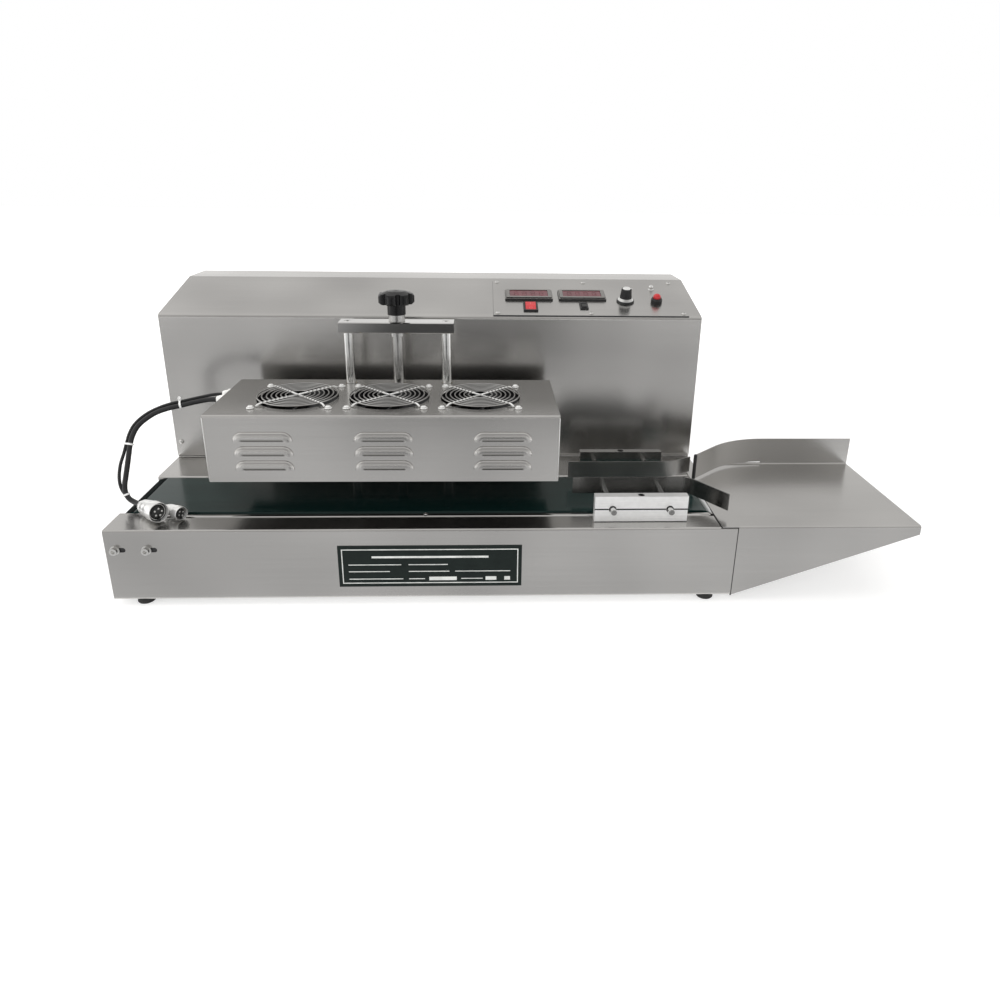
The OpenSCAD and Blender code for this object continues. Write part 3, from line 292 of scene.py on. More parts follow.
STEEL = (0.61, 0.60, 0.584)
MATERIALS = {
    "brushed_steel": brushed("brushed_steel", STEEL, 0.24),
    "polished_steel": brushed("polished_steel", (0.60, 0.59, 0.575), 0.16, 0.3, 0.03),
    "aluminium": milled("aluminium", (0.86, 0.86, 0.855), 0.4, 0.55),
    "chrome": polished("chrome", (0.80, 0.80, 0.79), 0.07),
    "screw_steel": polished("screw_steel", (0.74, 0.735, 0.72), 0.13),
    "belt_green": belt_surface(),
    "foot_rubber": moulded("foot_rubber", (0.02, 0.02, 0.02), 0.7),
    "bearing_dark": moulded("bearing_dark", (0.03, 0.03, 0.032), 0.5),
    "motor_dark": moulded("motor_dark", (0.04, 0.04, 0.045), 0.45, 400, 0.2),
    "nameplate": printed_plate(),
    "black_plastic": moulded("black_plastic", (0.012, 0.012, 0.013), 0.42),
    "knob_black": moulded("knob_black", (0.006, 0.006, 0.007), 0.26, 1200, 0.04),
    "red_plastic": moulded("red_plastic", (0.50, 0.016, 0.022), 0.3, 1500, 0.04, 0.3),
    "lens_red": moulded("lens_red", (0.115, 0.021, 0.030), 0.16, 1500, 0.02, 0.3),
    "white_plastic": moulded("white_plastic", (0.78, 0.78, 0.76), 0.4),
    "board_green": moulded("board_green", (0.02, 0.12, 0.06), 0.45),
    "copper": polished("copper", (0.62, 0.30, 0.16), 0.3),
    "bush_brass": polished("bush_brass", (0.62, 0.46, 0.20), 0.25),
    "cord_black": moulded("cord_black", (0.013, 0.013, 0.014), 0.45, 700, 0.1),
    "plug_metal": polished("plug_metal", (0.90, 0.90, 0.89), 0.29, 0.04, 0.75),
}
BEZEL_GREY = bezel_painted_shade()
ZINC = polished("zinc", (0.90, 0.90, 0.89), 0.29, 0.05, 0.55)
RING_STEEL = polished("ring_steel", (0.52, 0.515, 0.505), 0.3)
TIP_GREY = polished("tip_grey", (0.30, 0.30, 0.295), 0.3)
NYLON = moulded("tie_nylon", (0.82, 0.82, 0.81), 0.4)
GLOSS_BLACK = moulded("gloss_black", (0.010, 0.011, 0.011), 0.16, 1500, 0.02)
PRINT_WHITE = moulded("print_white", (0.72, 0.74, 0.72), 0.45, 1500, 0.02)
SEGMENT_RED = moulded("segment_red", (0.122, 0.022, 0.031), 0.18, 1500, 0.02, 0.3)
MARK_PINK = moulded("mark_pink", (0.66, 0.13, 0.14), 0.4, 1500, 0.02)
END_SHADE_BLACK = moulded("end_shade_black", (0.004, 0.006, 0.006), 0.7, 900, 0.1, 0.0, 0.03)


def set_material(obj, material):
    if not obj.material_slots:
        obj.data.materials.append(material)
    for slot in obj.material_slots:
        slot.material = material


for part in frame["record"]["subparts"]:
    set_material(nodes[part["node"]], MATERIALS[part["material_slot"]])
OWN_FINISH = {
    BEZEL_GREY: ("meter_left", "meter_right"),
    # The head cover's faces that look down get painted shade.
    brushed("cover_steel", STEEL, 0.24, down_shade=0.5): ("head_cover",),
    brushed("bar_steel", (0.62, 0.615, 0.605), 0.1, 0.0, 0.03): ("crossbar",),
    polished("screw_grey", (0.52, 0.515, 0.505), 0.18): ("lift_screw",),
    polished("post_chrome", (0.80, 0.80, 0.79), 0.15): ("guide_posts",),
    # The front rail gets a dark colour: painted shade for the dark things it reflects.
    brushed("front_rail_dark_shade", (0.25, 0.25, 0.245), 0.22, 0.3, 0.04): ("front_guide_rail",),
    brushed("rail_satin", (0.52, 0.515, 0.505), 0.34, 0.3, 0.04): ("rear_guide_rail",),
    # The front blocks' faces that look up get painted shade.
    milled("block_white", (0.94, 0.94, 0.935), 0.34, 0.42, 0.62): ("front_block_lower", "front_block_upper"),
    polished("block_bright", (0.66, 0.66, 0.65), 0.16): ("rear_block_lower", "rear_block_upper"),
    ZINC: ("guard_screws",),
    moulded("star_black", (0.004, 0.004, 0.0045), 0.24, 1200, 0.03, 0.0, 0.3): ("lift_knob",),
    polished("black_oxide", (0.05, 0.05, 0.053), 0.34): ("clamp_screws",),
    moulded("coil_board", (0.035, 0.03, 0.026), 0.5): ("coil_plate",),
    milled("anodised_dark", (0.10, 0.10, 0.105), 0.45): ("heat_sink",),
}
for finish, names in OWN_FINISH.items():
    for name in names:
        set_material(nodes[name], finish)

# Mesh helpers


def piece(name, mesh, material, smooth=True):
    data = bpy.data.meshes.new(name)
    bmesh.ops.recalc_face_normals(mesh, faces=mesh.faces)
    mesh.to_mesh(data)
    mesh.free()
    for face in data.polygons:
        face.use_smooth = smooth
    obj = bpy.data.objects.new(name, data)
    scene.collection.objects.link(obj)
    set_material(obj, material)
    return obj


def turns(count):
    return [2 * math.pi * k / count for k in range(count)]


def rings_to_faces(mesh, rings, loop=False):
    """Faces between rings of vertices, joined end to end in a loop, or else capped at both ends."""
    pairs = list(zip(rings, rings[1:])) + ([(rings[-1], rings[0])] if loop else [])
    for a, b in pairs:
        for k in range(len(a)):
            n = (k + 1) % len(a)
            mesh.faces.new((a[k], a[n], b[n], b[k]))
    if not loop:
        mesh.faces.new(rings[0])
        mesh.faces.new(list(reversed(rings[-1])))


def tube(mesh, line, radius, sides=12, loop=False):
    """A round tube along a line, with frames carried along it so that it doesn't twist."""
    count = len(line)
    ways = []
    for i in range(count):
        before = line[i - 1] if loop or i else line[0]
        after = line[(i + 1) % count] if loop or i < count - 1 else line[-1]
        ways.append((after - before).normalized())
    side = ways[0].orthogonal().normalized()
    rings = []
    for point, way in zip(line, ways):
        side = (side - way * side.dot(way)).normalized()
        other = way.cross(side)
        rings.append([mesh.verts.new(point + (side * math.cos(a) + other * math.sin(a)) * radius)
                      for a in turns(sides)])
    rings_to_faces(mesh, rings, loop)


def lathe(mesh, profile, matrix, sides=48, loop=False):
    """A turned shape: profile is (radius, height) pairs, in metres, and a loop of them makes an open ring."""
    rings = [[mesh.verts.new(matrix @ Vector((r * math.cos(a), r * math.sin(a), height))) for a in turns(sides)]
             for r, height in profile]
    rings_to_faces(mesh, rings, loop)


def slab(mesh, low, high, matrix=Matrix()):
    """A box between two corners, used for many small printed and moulded details in one piece."""
    corners = [mesh.verts.new(matrix @ Vector((x, y, z))) for x in (low[0], high[0])
               for y in (low[1], high[1]) for z in (low[2], high[2])]
    for face in ((0, 1, 3, 2), (4, 6, 7, 5), (0, 4, 5, 1), (2, 3, 7, 6), (0, 2, 6, 4), (1, 5, 7, 3)):
        mesh.faces.new([corners[i] for i in face])


def smoothed(points, steps):
    """The cord route's curve: the same smooth curve that the CAD tube follows."""
    line = []
    last = len(points) - 1
    for i in range(last):
        a, b, c, d = (points[j] for j in (max(i - 1, 0), i, i + 1, min(i + 2, last)))
        for k in range(steps):
            t = k / steps
            line.append((2 * b + (c - a) * t + (2 * a - 5 * b + 4 * c - d) * t * t
                         + (3 * b - a - 3 * c + d) * t ** 3) / 2)
    return line + [points[-1]]


# Cords, from the head's glands to the two plugs

POWER_ROUTE = [at(*p) for p in (
    (122.2, 138, 257), (110, 138, 256.5), (92, 134, 254), (73, 128.5, 250.5), (57, 125, 247.5),
    (41, 121, 242.5), (27, 117, 234.5), (16, 112, 225), (10, 106, 214), (7, 100, 202), (6, 94, 190),
    (5, 87, 176), (3.5, 80, 161), (2, 75.5, 149), (3, 72.5, 139), (7.5, 70, 131.5), (14.5, 67, 127.5),
    (22.5, 62, 126.7), (31, 55, 127.5))]
SIGNAL_ROUTE = [at(*p) for p in (
    (122.2, 165, 257), (110, 163, 256.8), (93, 152, 255.8), (74, 137.5, 254.5), (57, 131.5, 252),
    (40, 127.5, 246.5), (24, 122.5, 238.5), (11, 116.5, 227.5), (4, 110, 215.5), (0.5, 103, 202),
    (-2, 96, 189.5), (-5.5, 88, 175), (-6.5, 81, 159), (-4.5, 77, 146), (0, 76.5, 135),
    (8, 77, 126.5), (21, 75.5, 120), (38, 70, 118.5), (54, 60, 122.5), (67, 50.5, 126))]
POWER_D, SIGNAL_D = 0.007, 0.0045
TIE_HALF_W, TIE_HALF_T, TIE_CLEAR = 0.0013, 0.0005, 0.0006
TIE_HEAD = ((-0.0024, -0.0005, -0.0020), (0.0024, 0.0036, 0.0020))
TIE_TAIL = ((-0.0005, 0.0036, -0.0013), (0.0006, 0.0058, 0.0013))
TIE_ARC = 13


def follow_head(obj):
    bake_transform(obj)


def nearest(line, target):
    return min(range(len(line)), key=lambda i: (line[i] - target).length)


def tie(name, target, power_line, signal_line, head_out):
    """A nylon tie round both cords, with its square head and cut tail."""
    i, j = nearest(power_line, target), nearest(signal_line, target)
    a, b = power_line[i], signal_line[j]
    way = (power_line[min(i + 3, len(power_line) - 1)] - power_line[max(i - 3, 0)]).normalized()
    b = b - way * (b - a).dot(way)
    across = (b - a).normalized()
    out = way.cross(across)
    reach_a, reach_b = POWER_D / 2 + TIE_CLEAR, SIGNAL_D / 2 + TIE_CLEAR
    tilt = math.asin((reach_a - reach_b) / (b - a).length)
    loop = []
    for centre, reach, facing, half in ((a, reach_a, math.pi, math.pi / 2 + tilt),
                                        (b, reach_b, 0, math.pi / 2 - tilt)):
        for k in range(TIE_ARC):
            t = facing + (k / (TIE_ARC // 2) - 1) * half
            loop.append(centre + (across * math.cos(t) + out * math.sin(t)) * reach)
    mesh = bmesh.new()
    rings = []
    middle = sum(loop, Vector()) / len(loop)
    for point in loop:
        away = (point - middle).normalized()
        rings.append([mesh.verts.new(point + away * TIE_HALF_T * r + way * TIE_HALF_W * w)
                      for r, w in ((-1, -1), (1, -1), (1, 1), (-1, 1))])
    rings_to_faces(mesh, rings, True)
    head_out = head_out.normalized()
    seat = max(loop, key=lambda p: (p - middle).dot(head_out))
    turn = Matrix((way.cross(head_out).normalized(), head_out, way)).transposed().to_4x4()
    box = Matrix.Translation(seat) @ turn
    slab(mesh, *TIE_HEAD, box)
    slab(mesh, *TIE_TAIL, box)
    follow_head(piece(name, mesh, NYLON, smooth=False))


# The plugs' turned shapes, as shares of the plug's radius and length
PLUG_SHELL = ((0.44, 0), (0.52, 0.02), (0.55, 0.14), (0.56, 0.16), (0.70, 0.17), (0.74, 0.19), (0.75, 0.24),
              (0.72, 0.26), (0.72, 0.28), (0.80, 0.30), (0.88, 0.48), (0.92, 0.64), (0.97, 0.66), (1, 0.68),
              (1, 0.96), (0.99, 0.985), (0.975, 1), (0.95, 1), (0.94, 0.985), (0.935, 0.80))
PLUG_INSERT = ((0.93, 0.802), (0.93, 0.87), (0.90, 0.89), (0.62, 0.89), (0.60, 0.93), (0.56, 0.945), (0.10, 0.945))
PLUG_PIN = ((0.11, 0), (0.11, 0.03), (0.07, 0.04))
PIN_CIRCLE, PIN_START, PIN_FOOT = 0.36, 0.4, 0.935
PLUG_GAP = 0.0004


def plug_frame(end, yaw, tilt):
    turn = Matrix.Rotation(math.radians(yaw), 4, "Z") @ Matrix.Rotation(math.radians(90 - tilt), 4, "Y")
    return Matrix.Translation(end) @ turn @ Matrix.Translation((0, 0, PLUG_GAP))


def plug(name, node, matrix, d, length, pins):
    """A round metal connector: sleeve, smooth tapered shell, thin rim and a dark insert with pins."""
    shell, insert, contacts = bmesh.new(), bmesh.new(), bmesh.new()
    r, h = d / 2, length

    def turned(mesh, shares, place, sides):
        lathe(mesh, [(r * a, h * b) for a, b in shares], place, sides)

    turned(shell, PLUG_SHELL, matrix, 64)
    turned(insert, PLUG_INSERT, matrix, 48)
    for a in turns(pins):
        a += PIN_START
        spot = (r * PIN_CIRCLE * math.cos(a), r * PIN_CIRCLE * math.sin(a), PIN_FOOT * h)
        turned(contacts, PLUG_PIN, matrix @ Matrix.Translation(spot), 16)
    collar = [matrix @ Vector((r * 0.76 * math.cos(a), r * 0.76 * math.sin(a), 0.895 * h)) for a in turns(48)]
    tube(contacts, collar, r * 0.035, 10, loop=True)
    key = matrix @ Matrix.Translation((r * 0.74, 0, 0.885 * h))
    slab(insert, (-r * 0.14, -r * 0.09, 0), (r * 0.12, r * 0.09, 0.09 * h), key)
    shell = piece(name, shell, MATERIALS["plug_metal"])
    insert = piece(name + "_insert", insert, GLOSS_BLACK)
    contacts = piece(name + "_contacts", contacts, MATERIALS["screw_steel"])
    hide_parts(node)
    for obj in (shell, insert, contacts):
        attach(obj, "base")
    return [shell, insert, contacts]


def add_cords():
    lines = {}
    power_matrix = plug_frame(POWER_ROUTE[-1], -41, 5)
    signal_matrix = plug_frame(SIGNAL_ROUTE[-1], -35, 0)
    ends = {"power": plug("power_connector", "power_plug", power_matrix, 0.0276, 0.050, 5),
            "signal": plug("signal_connector", "signal_plug", signal_matrix, 0.019, 0.034, 4)}
    for name, route, d in (("power", POWER_ROUTE, POWER_D), ("signal", SIGNAL_ROUTE, SIGNAL_D)):
        line = smoothed(route, 6)
        mesh = bmesh.new()
        tube(mesh, line, d / 2, 16)
        obj = piece(name + "_lead", mesh, MATERIALS["cord_black"])
        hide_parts(name + "_cord")
        follow_head(obj)
        lines[name] = line
    for name, target, out in (("tie_high", at(72, 131, 252), Vector((0, -0.2, 1))),
                              ("tie_middle", at(3, 101, 202), Vector((0.2, 1, 0.1))),
                              ("tie_low", at(4, 72, 136), Vector((-0.4, 1, 0.3)))):
        tie(name, target, lines["power"], lines["signal"], out)


add_cords()

# Fan guards as round wire, in place of the square-armed CAD guards

HEAD_TOP = 266.5
FAN_X = (244.5, 374.5, 504.5)
FAN_Y = 119.0
RINGS, RING_OUTER, RING_STEP = 7, 56, 6.5
RING_UP, WIRE_R, ARM_R, EYE_R = 0.0046, 0.001, 0.0014, 0.0042
# Each arm's distance from the fan's middle and height, and the same for the eye under its screw
ARM_LINE = ((0.0, 0.0038), (0.030, 0.0038), (0.0585, 0.0038), (0.0612, 0.0035), (0.0640, 0.0022), (0.0660, 0.0010))
EYE_AT = (0.0525 * math.sqrt(2) + 0.0004, 0.0010)


def add_guards():
    mesh, arms = bmesh.new(), bmesh.new()

    def hoop(into, centre, radius, height, steps):
        tube(into, [centre + Vector((radius * math.cos(a), radius * math.sin(a), height)) for a in turns(steps)],
             WIRE_R, 8, loop=True)

    for x in FAN_X:
        centre = at(x, FAN_Y, HEAD_TOP)
        for i in range(RINGS):
            hoop(mesh, centre, (RING_OUTER - RING_STEP * i) / 1000, RING_UP, 80)
        for a in (math.radians(45 + 90 * k) for k in range(4)):
            way = Vector((math.cos(a), math.sin(a), 0))
            tube(arms, [centre + way * reach + Vector((0, 0, height)) for reach, height in ARM_LINE], ARM_R, 10)
            hoop(arms, centre + way * EYE_AT[0], EYE_R, EYE_AT[1], 24)
    guards = piece("wire_guards", mesh, RING_STEEL)
    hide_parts("fan_guards")
    for obj in (guards, piece("guard_arms", arms, ZINC)):
        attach(obj, "head")


add_guards()

# Printed plate on the front panel: a border, ruled lines and blank fields


PLATE_X, PLATE_Z = (310, 562), (28.5, 91.5)
PLATE_FACE, PRINT_FACE = -1.0, -1.12
BORDER_IN, BORDER_W = 5.0, 1.3


def add_plate_print():
    mesh = bmesh.new()
    (x0, x1), (z0, z1) = PLATE_X, PLATE_Z
    edge, line = BORDER_IN, BORDER_W

    def mark(xa, xb, za, zb):
        slab(mesh, at(xa, PRINT_FACE, za), at(xb, PLATE_FACE, zb))

    mark(x0 + edge, x1 - edge, z0 + edge, z0 + edge + line)
    mark(x0 + edge, x1 - edge, z1 - edge - line, z1 - edge)
    mark(x0 + edge, x0 + edge + line, z0 + edge + line, z1 - edge - line)
    mark(x1 - edge - line, x1 - edge, z0 + edge + line, z1 - edge - line)
    mark(x0 + 46, x1 - 46, z1 - 18.6, z1 - 15.6)
    for row, spans in ((0, ((14, 86), (96, 150))), (1, ((14, 70), (96, 152), (160, 236)))):
        for a, b in spans:
            mark(x0 + a, x0 + b, z1 - 29.5 - row * 10.5, z1 - 28.3 - row * 10.5)
    for a, b in ((124, 162), (202, 217), (228, 236)):
        mark(x0 + a, x0 + b, z0 + 9.5, z0 + 15)
    for a, b in ((14, 88), (96, 118), (168, 198)):
        mark(x0 + a, x0 + b, z0 + 11.4, z0 + 12.6)
    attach(piece("plate_print", mesh, PRINT_WHITE, smooth=False), "base")


add_plate_print()

# Control panel details, placed in the console's own frame

PANEL = (Matrix.Translation(at(525, 266.25, 356)) @ Matrix.Rotation(SLOPE, 4, "X")
         @ Matrix.Translation((0, 0.001, 0.00225)))
PANEL_W, PANEL_H = 314, 138
# Reach out and in of the dark frame round the control plate, painted shadow in its gap, in millimetres.
SHADOW_OUT, SHADOW_IN = 0.3, 0.2
METER_X, METER_Y, METER_FACE = (59.5, 148.5), 74.5, 4.2
ROCKER_AT, KNOB_AT = (60.5, 29.5), (219.5, 55)
# A digit's seven bars: left, right, lower and upper edge
DIGIT_BARS = ((-2.6, 2.6, 6.2, 7.2), (-2.6, 2.6, -0.5, 0.5), (-2.6, 2.6, -7.2, -6.2), (2.6, 3.6, 0.9, 6.0),
              (2.6, 3.6, -6.0, -0.9), (-3.6, -2.6, 0.9, 6.0), (-3.6, -2.6, -6.0, -0.9))
CAP_PROFILE = [(0.0066, 0.0224), (0.0066, 0.0233), (0.0060, 0.0238), (0.0030, 0.0240)]
# A gloss black ring at the foot of the speed dial: painted shadow under the dial's chrome skirt.
SHADE_BAND_PROFILE = [(0.01465, 0.0001), (0.01465, 0.0021), (0.01385, 0.0029), (0.0127, 0.0041), (0.0122, 0.0041),
                (0.0122, 0.0001)]


def on_panel(x, y, h=0.0):
    return PANEL @ Matrix.Translation((x / 1000, y / 1000, h / 1000))


def add_panel_details():
    digits, marks, cap, shade_band, shadow_frame = (bmesh.new() for _ in range(5))
    for mx in METER_X:
        for k in range(4):
            spot = on_panel(mx - 21 + 14 * k, METER_Y, METER_FACE)
            for xa, xb, ya, yb in DIGIT_BARS:
                slab(digits, (xa / 1000, ya / 1000, 0), (xb / 1000, yb / 1000, 0.00012), spot)
    rocker = on_panel(*ROCKER_AT) @ Matrix.Rotation(math.radians(8), 4, "X")
    slab(marks, (-0.0007, 0.0040, 0.0030), (0.0007, 0.0085, 0.0037), rocker)
    ring = [rocker @ Vector((0.0024 * math.cos(a), -0.0062 + 0.0024 * math.sin(a), 0.00345)) for a in turns(24)]
    tube(marks, ring, 0.0004, 6, loop=True)
    knob = on_panel(*KNOB_AT)
    lathe(cap, CAP_PROFILE, knob, 40)
    slab(cap, (0.0066, -0.0005, 0.0214), (0.0092, 0.0005, 0.0232), knob)
    lathe(shade_band, SHADE_BAND_PROFILE, knob, 64, loop=True)
    # A dark frame under the control plate's edges: painted shadow in the gap round the plate.
    left, right, low, high = -SHADOW_OUT, PANEL_W + SHADOW_OUT, -SHADOW_OUT, PANEL_H + SHADOW_OUT
    inner_right, inner_high = PANEL_W - SHADOW_IN, PANEL_H - SHADOW_IN
    for xa, xb, ya, yb in ((left, right, low, SHADOW_IN), (left, right, inner_high, high),
                           (left, SHADOW_IN, SHADOW_IN, inner_high), (inner_right, right, SHADOW_IN, inner_high)):
        slab(shadow_frame, (xa / 1000, ya / 1000, -0.002), (xb / 1000, yb / 1000, -0.0005), PANEL)
    for name, mesh, material, slot, body in (
            ("panel_shadow_frame", shadow_frame, MATERIALS["motor_dark"], "motor_dark", "base"),
            ("meter_digits", digits, SEGMENT_RED, "red_plastic", "base"),
            ("rocker_marks", marks, MARK_PINK, "red_plastic", "power_switch"),
            ("dial_shade_band", shade_band, GLOSS_BLACK, "black_plastic", "base"),
            ("knob_cap", cap, MATERIALS["plug_metal"], "plug_metal", "speed")):
        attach(piece(name, mesh, material), body)


add_panel_details()

# A black piece on the free end of the feed table's bowed strip


def add_strip_end_black():
    mesh = bmesh.new()
    end = at(838, 157, 0)
    way = Vector((80, 73.25, 0)).normalized()
    turn = Matrix((way, Vector((-way.y, way.x, 0)), Vector((0, 0, 1)))).transposed().to_4x4()
    box = Matrix.Translation(end) @ turn
    slab(mesh, (-0.0012, -0.0018, 0.1213), (0.0040, 0.0018, 0.1623), box)
    bmesh.ops.bevel(mesh, geom=mesh.edges[:], offset=0.0006, segments=2, affect="EDGES", profile=0.5)
    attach(piece("strip_end_black", mesh, MATERIALS["foot_rubber"]), "base")


add_strip_end_black()

# Thin pieces: painted shade in the clamp block seams, rod tips, painted shadow along the feed table's edges, painted
# shade round the belt's end, painted highlights on the head cover's edges, and the cabinet hem

SEAM_PROUD, SEAM_DEEP, SEAM_LAP = 0.00015, 0.0008, 0.0006
ROD_CLEAR, ROD_RING = 0.0016, 0.0007
# The black sheet round the belt's end, painted shade: its arc in degrees, its steps, and its inset and heights.
END_SHADE_FROM, END_SHADE_TO, END_SHADE_STEPS = 4, 170, 42
END_SHADE_IN, END_SHADE_UNDER, END_SHADE_OVER = 0.0004, 0.00006, 0.0003
LOUVRE_RISE, EDGE_IN, EDGE_R = 0.0045, 0.0004, 0.0005
EDGE_FOOT, EDGE_TOP = 0.0015, 0.0035
HEM_Z, HEM_R = 0.1174, 0.0012


def add_block_shade_lines():
    """Dark strips of painted shade in the clamp blocks' seams, painted contact shadow along their feet, and rings of
    painted shade where the rods leave them.
    """
    for side in ("front", "rear"):
        lower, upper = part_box(side + "_block_lower"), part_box(side + "_block_upper")
        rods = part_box(side + "_guide_rods")
        radius = (rods[1].z - rods[0].z) / 2
        middle = (rods[0].z + rods[1].z) / 2
        spots = (rods[0].x + radius, rods[1].x - radius)
        clear, round_rod = radius + ROD_CLEAR, radius + ROD_RING
        left, right = lower[0].x - SEAM_PROUD, lower[1].x + SEAM_PROUD
        mesh = bmesh.new()
        edges = (left, spots[0] - clear, spots[0] + clear, spots[1] - clear, spots[1] + clear, right)
        for face, inward in ((lower[0].y - SEAM_PROUD, 1), (lower[1].y + SEAM_PROUD, -1)):
            ya, yb = sorted((face, face + inward * SEAM_DEEP))
            for xa, xb in zip(edges[::2], edges[1::2]):
                slab(mesh, (xa, ya, lower[1].z - SEAM_LAP), (xb, yb, upper[0].z + SEAM_LAP))
            slab(mesh, (left, ya, lower[0].z + 0.0001), (right, yb, lower[0].z + 0.0009))
            for x in spots:
                ring = [Vector((x + round_rod * math.cos(a), face + inward * SEAM_PROUD,
                                middle + round_rod * math.sin(a))) for a in turns(32)]
                tube(mesh, ring, 0.0006, 8, loop=True)
        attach(piece(side + "_block_shade_lines", mesh, MATERIALS["foot_rubber"], smooth=False), "base")


def add_rod_tips():
    """Turned ends of the guide rods: a chamfer and a small centre hole."""
    for side, outward in (("front", -1), ("rear", 1)):
        low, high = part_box(side + "_guide_rods")
        radius = (high.z - low.z) / 2
        end = low.y if outward < 0 else high.y
        mesh = bmesh.new()
        for x in (low.x + radius, high.x - radius):
            turn = Matrix.Translation((x, end, low.z + radius)) @ Matrix.Rotation(math.radians(90 * -outward), 4, "X")
            lathe(mesh, [(radius * 0.98, -0.0001), (radius * 0.98, 0.0003), (radius * 0.80, 0.0010),
                         (radius * 0.34, 0.0010), (radius * 0.22, 0.0003)], turn, 32)
        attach(piece(side + "_rod_tips", mesh, TIP_GREY), side + "_guide")


def add_table_shadow_lines():
    """Black strips of painted shadow under the feed table's edges where it laps the base, and in the groove beside
    its skirt.
    """
    mesh = bmesh.new()
    for low, high in (((837.3, -0.35, 116.05), (838.2, 58, 117.2)),
                      ((837.3, -0.35, 115.5), (861.2, 0.3, 116.4)),
                      ((860.02, 0.4, 9), (861.18, 2.4, 115.4))):
        slab(mesh, at(*low), at(*high))
    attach(piece("table_shade_lines", mesh, MATERIALS["foot_rubber"], smooth=False), "base")


def add_belt_end_shade():
    """A thin curved black sheet round the belt's left end: painted shade where the belt wraps its roller."""
    low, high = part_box("conveyor_belt")
    radius = (high.z - low.z) / 2
    centre = Vector((low.x + radius, 0, low.z + radius))
    mesh = bmesh.new()
    rings = []
    for k in range(END_SHADE_STEPS + 1):
        a = math.radians(END_SHADE_FROM + (END_SHADE_TO - END_SHADE_FROM) * k / END_SHADE_STEPS)
        way = Vector((-math.sin(a), 0, math.cos(a)))
        rings.append([mesh.verts.new(centre + way * (radius + h) + Vector((0, y, 0))) for y, h in
                      ((low.y + END_SHADE_IN, END_SHADE_UNDER), (high.y - END_SHADE_IN, END_SHADE_UNDER),
                       (high.y - END_SHADE_IN, END_SHADE_OVER), (low.y + END_SHADE_IN, END_SHADE_OVER))])
    rings_to_faces(mesh, rings)
    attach(piece("belt_end_shade", mesh, END_SHADE_BLACK, smooth=False), "base")


def add_cover_edge_highlights():
    """Thin bright rods on the vertical edges of the head's front: painted highlights where its folds catch the light.
    """
    low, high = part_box("head_cover")
    front = low.y + LOUVRE_RISE
    mesh = bmesh.new()
    heights = (low.z + EDGE_FOOT, (low.z + high.z) / 2, high.z - EDGE_TOP)
    for x in (low.x + EDGE_IN, high.x - EDGE_IN):
        tube(mesh, [Vector((x, front + EDGE_IN, z)) for z in heights], EDGE_R, 10)
    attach(piece("cover_edge_highlights", mesh, ZINC), "head")


def add_cabinet_hem():
    """The rolled bottom hem of the cabinet's front, standing on the deck."""
    low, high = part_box("cabinet_shell")
    mesh = bmesh.new()
    line = [Vector((x, low.y + HEM_R / 2, HEM_Z)) for x in (low.x + 0.001, 0, high.x - 0.001)]
    tube(mesh, line, HEM_R, 12)
    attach(piece("cabinet_hem", mesh, MATERIALS["brushed_steel"]), "base")


add_block_shade_lines()
add_rod_tips()
add_table_shadow_lines()
add_cabinet_hem()
add_cover_edge_highlights()
add_belt_end_shade()

# Floor, reflected cloths, world and lamps

# The front cloth's dark patch: its middle in x, the y that it fades from, and its reach in x and y
DARK_X, DARK_Y, DARK_REACH_X, DARK_REACH_Y = -0.06, -1.6, 0.54, 0.55
CLOTH_Z = 0.0006
# The world's brightness by height: how far up, and how bright
SKY = ((0.0, 1.0), (0.18, 0.98), (0.36, 0.60), (0.62, 0.70), (0.80, 0.80))
SKY_TINT = (1, 0.99, 0.975)
# The world's front is dimmed and its left lifted: where from, where to, and the strength at each
FRONT_DIM = (-0.3, -0.9, 1.0, 0.62)
LEFT_LIFT = (-0.25, -0.55, 1.0, 1.35)


def plane(name, low, high, z, material):
    mesh = bmesh.new()
    mesh.faces.new([mesh.verts.new((x, y, z)) for x, y in
                    ((low[0], low[1]), (high[0], low[1]), (high[0], high[1]), (low[0], high[1]))])
    data = bpy.data.meshes.new(name)
    mesh.to_mesh(data)
    mesh.free()
    obj = bpy.data.objects.new(name, data)
    scene.collection.objects.link(obj)
    set_material(obj, material)
    return obj


def only_reflected(obj):
    obj.visible_camera = obj.visible_diffuse = obj.visible_shadow = obj.visible_transmission = False


def add_floor():
    """A pale floor, white to the camera and in reflections, that keeps the object's shadow."""
    s = Surface("floor_white", Roughness=0.9, Specular_IOR_Level=0.1)
    s.shader.inputs["Base Color"].default_value = (0.6, 0.6, 0.6, 1)
    s.shader.inputs["Emission Color"].default_value = (1, 1, 1, 1)
    path = s.node("LightPath").outputs
    seen = s.sum(path["Is Camera Ray"], s.sum(path["Is Glossy Ray"], path["Is Transmission Ray"]))
    away = s.node("VectorMath", {0: s.place()}, operation="LENGTH").outputs["Value"]
    level = s.spread(away, 0.52, 1.0, 0.75, 2.4)
    s.feed("Emission Strength", s.node("Math", {0: seen, 1: level}, operation="MULTIPLY").outputs[0])
    plane("floor", (-9, -9), (9, 9), 0, s.material)


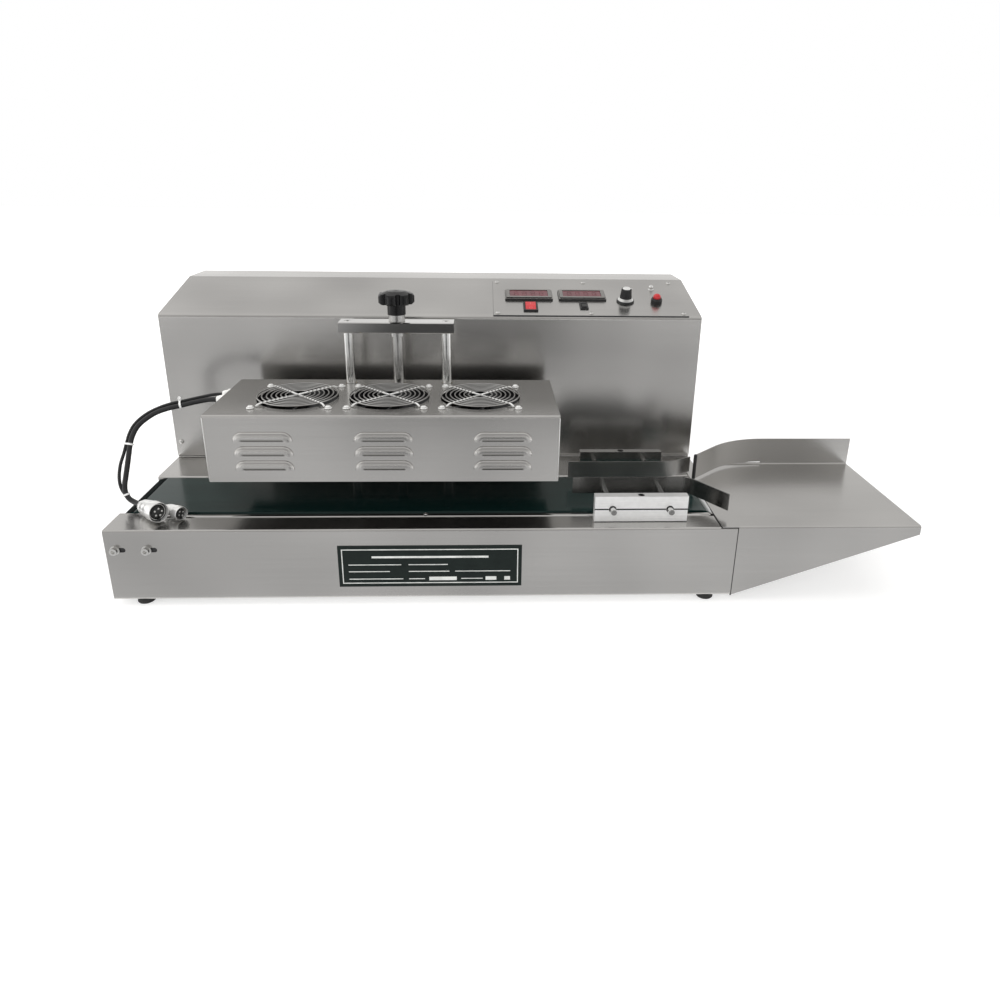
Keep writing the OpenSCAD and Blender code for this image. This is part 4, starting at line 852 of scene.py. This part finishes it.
def add_front_cloth():
    """A grey studio cloth in front, seen only in reflections, darker where the camera stands."""
    s = Surface("front_cloth", Roughness=1.0)
    s.shader.inputs["Base Color"].default_value = (0, 0, 0, 1)
    s.shader.inputs["Emission Color"].default_value = (1, 1, 1, 1)
    split = s.node("SeparateXYZ", {0: s.place()}).outputs
    across = s.spread(split[0], -1, 1, DARK_X - DARK_REACH_X, DARK_X + DARK_REACH_X)
    beyond = s.spread(split[1], 0, 1, DARK_Y, DARK_Y + DARK_REACH_Y)
    for socket in (across, beyond):
        socket.node.clamp = False
    beyond = s.node("Math", {0: beyond, 1: 0.0}, operation="MAXIMUM").outputs[0]
    reach = s.node("VectorMath", {0: s.node("CombineXYZ", {0: across, 1: beyond}).outputs[0]}, operation="LENGTH")
    level = s.spread(reach.outputs["Value"], 0.04, 0.62, 0.5, 1.45)
    level.node.interpolation_type = "SMOOTHSTEP"
    s.feed("Emission Strength", level)
    only_reflected(plane("front_cloth", (-2.2, -4.0), (2.2, -0.268), CLOTH_Z, s.material))


def add_left_cloth():
    """A dark cloth on the floor behind the left end, seen only in reflections."""
    s = Surface("left_cloth", Roughness=1.0)
    s.shader.inputs["Base Color"].default_value = (0.02, 0.02, 0.02, 1)
    only_reflected(plane("left_cloth", (-1.5, 0.02), (-0.575, 1.4), CLOTH_Z, s.material))


def add_world():
    """White for the camera; for light and reflections white at the horizon and greyer above it."""
    world = bpy.data.worlds.new("studio")
    scene.world = world
    world.use_nodes = True
    tree = world.node_tree

    def node(kind, *sources, **settings):
        made = tree.nodes.new("ShaderNode" + kind)
        for key, value in settings.items():
            setattr(made, key, value)
        for i, source in enumerate(sources):
            tree.links.new(source, made.inputs[i])
        return made

    split = node("SeparateXYZ", node("TexCoord").outputs["Generated"]).outputs
    ramp = node("ValToRGB", split[2])
    for i, (position, level) in enumerate(SKY):
        stop = ramp.color_ramp.elements[i] if i < 2 else ramp.color_ramp.elements.new(position)
        stop.position = position
        stop.color = (*(c * level for c in SKY_TINT), 1)
    front = node("MapRange", split[1])
    left = node("MapRange", split[0])
    for made, values in ((front, FRONT_DIM), (left, LEFT_LIFT)):
        for key, value in zip(("From Min", "From Max", "To Min", "To Max"), values):
            made.inputs[key].default_value = value
    sides = node("Math", front.outputs["Result"], left.outputs["Result"], operation="MULTIPLY")
    room = tree.nodes["Background"]
    tree.links.new(ramp.outputs["Color"], room.inputs["Color"])
    tree.links.new(sides.outputs[0], room.inputs["Strength"])
    white = node("Background")
    white.inputs["Color"].default_value = (1, 1, 1, 1)
    mix = node("MixShader", node("LightPath").outputs["Is Camera Ray"], room.outputs[0], white.outputs[0])
    tree.links.new(mix.outputs[0], tree.nodes["World Output"].inputs["Surface"])


def add_lamp(name, place, aim, size, power, colour=(1, 1, 1)):
    data = bpy.data.lights.new(name, "AREA")
    data.shape = "RECTANGLE"
    data.size, data.size_y = size
    data.energy = power
    data.color = colour
    lamp = bpy.data.objects.new(name, data)
    scene.collection.objects.link(lamp)
    lamp.location = place
    lamp.rotation_euler = (Vector(aim) - Vector(place)).to_track_quat("-Z", "Y").to_euler()
    lamp.visible_glossy = False


add_floor()
add_front_cloth()
add_left_cloth()
add_world()
add_lamp("overhead", (0.0, 0.2, 2.4), (0, 0.0, 0), (3.2, 2.4), 22, (1, 0.985, 0.96))
add_lamp("front", (-0.5, -2.4, 1.5), (0, 0, 0.15), (1.6, 1.2), 22)
add_lamp("left", (-2.2, -0.6, 1.1), (0, 0, 0.2), (1.0, 1.4), 8)

scene.view_settings.view_transform = "Standard"
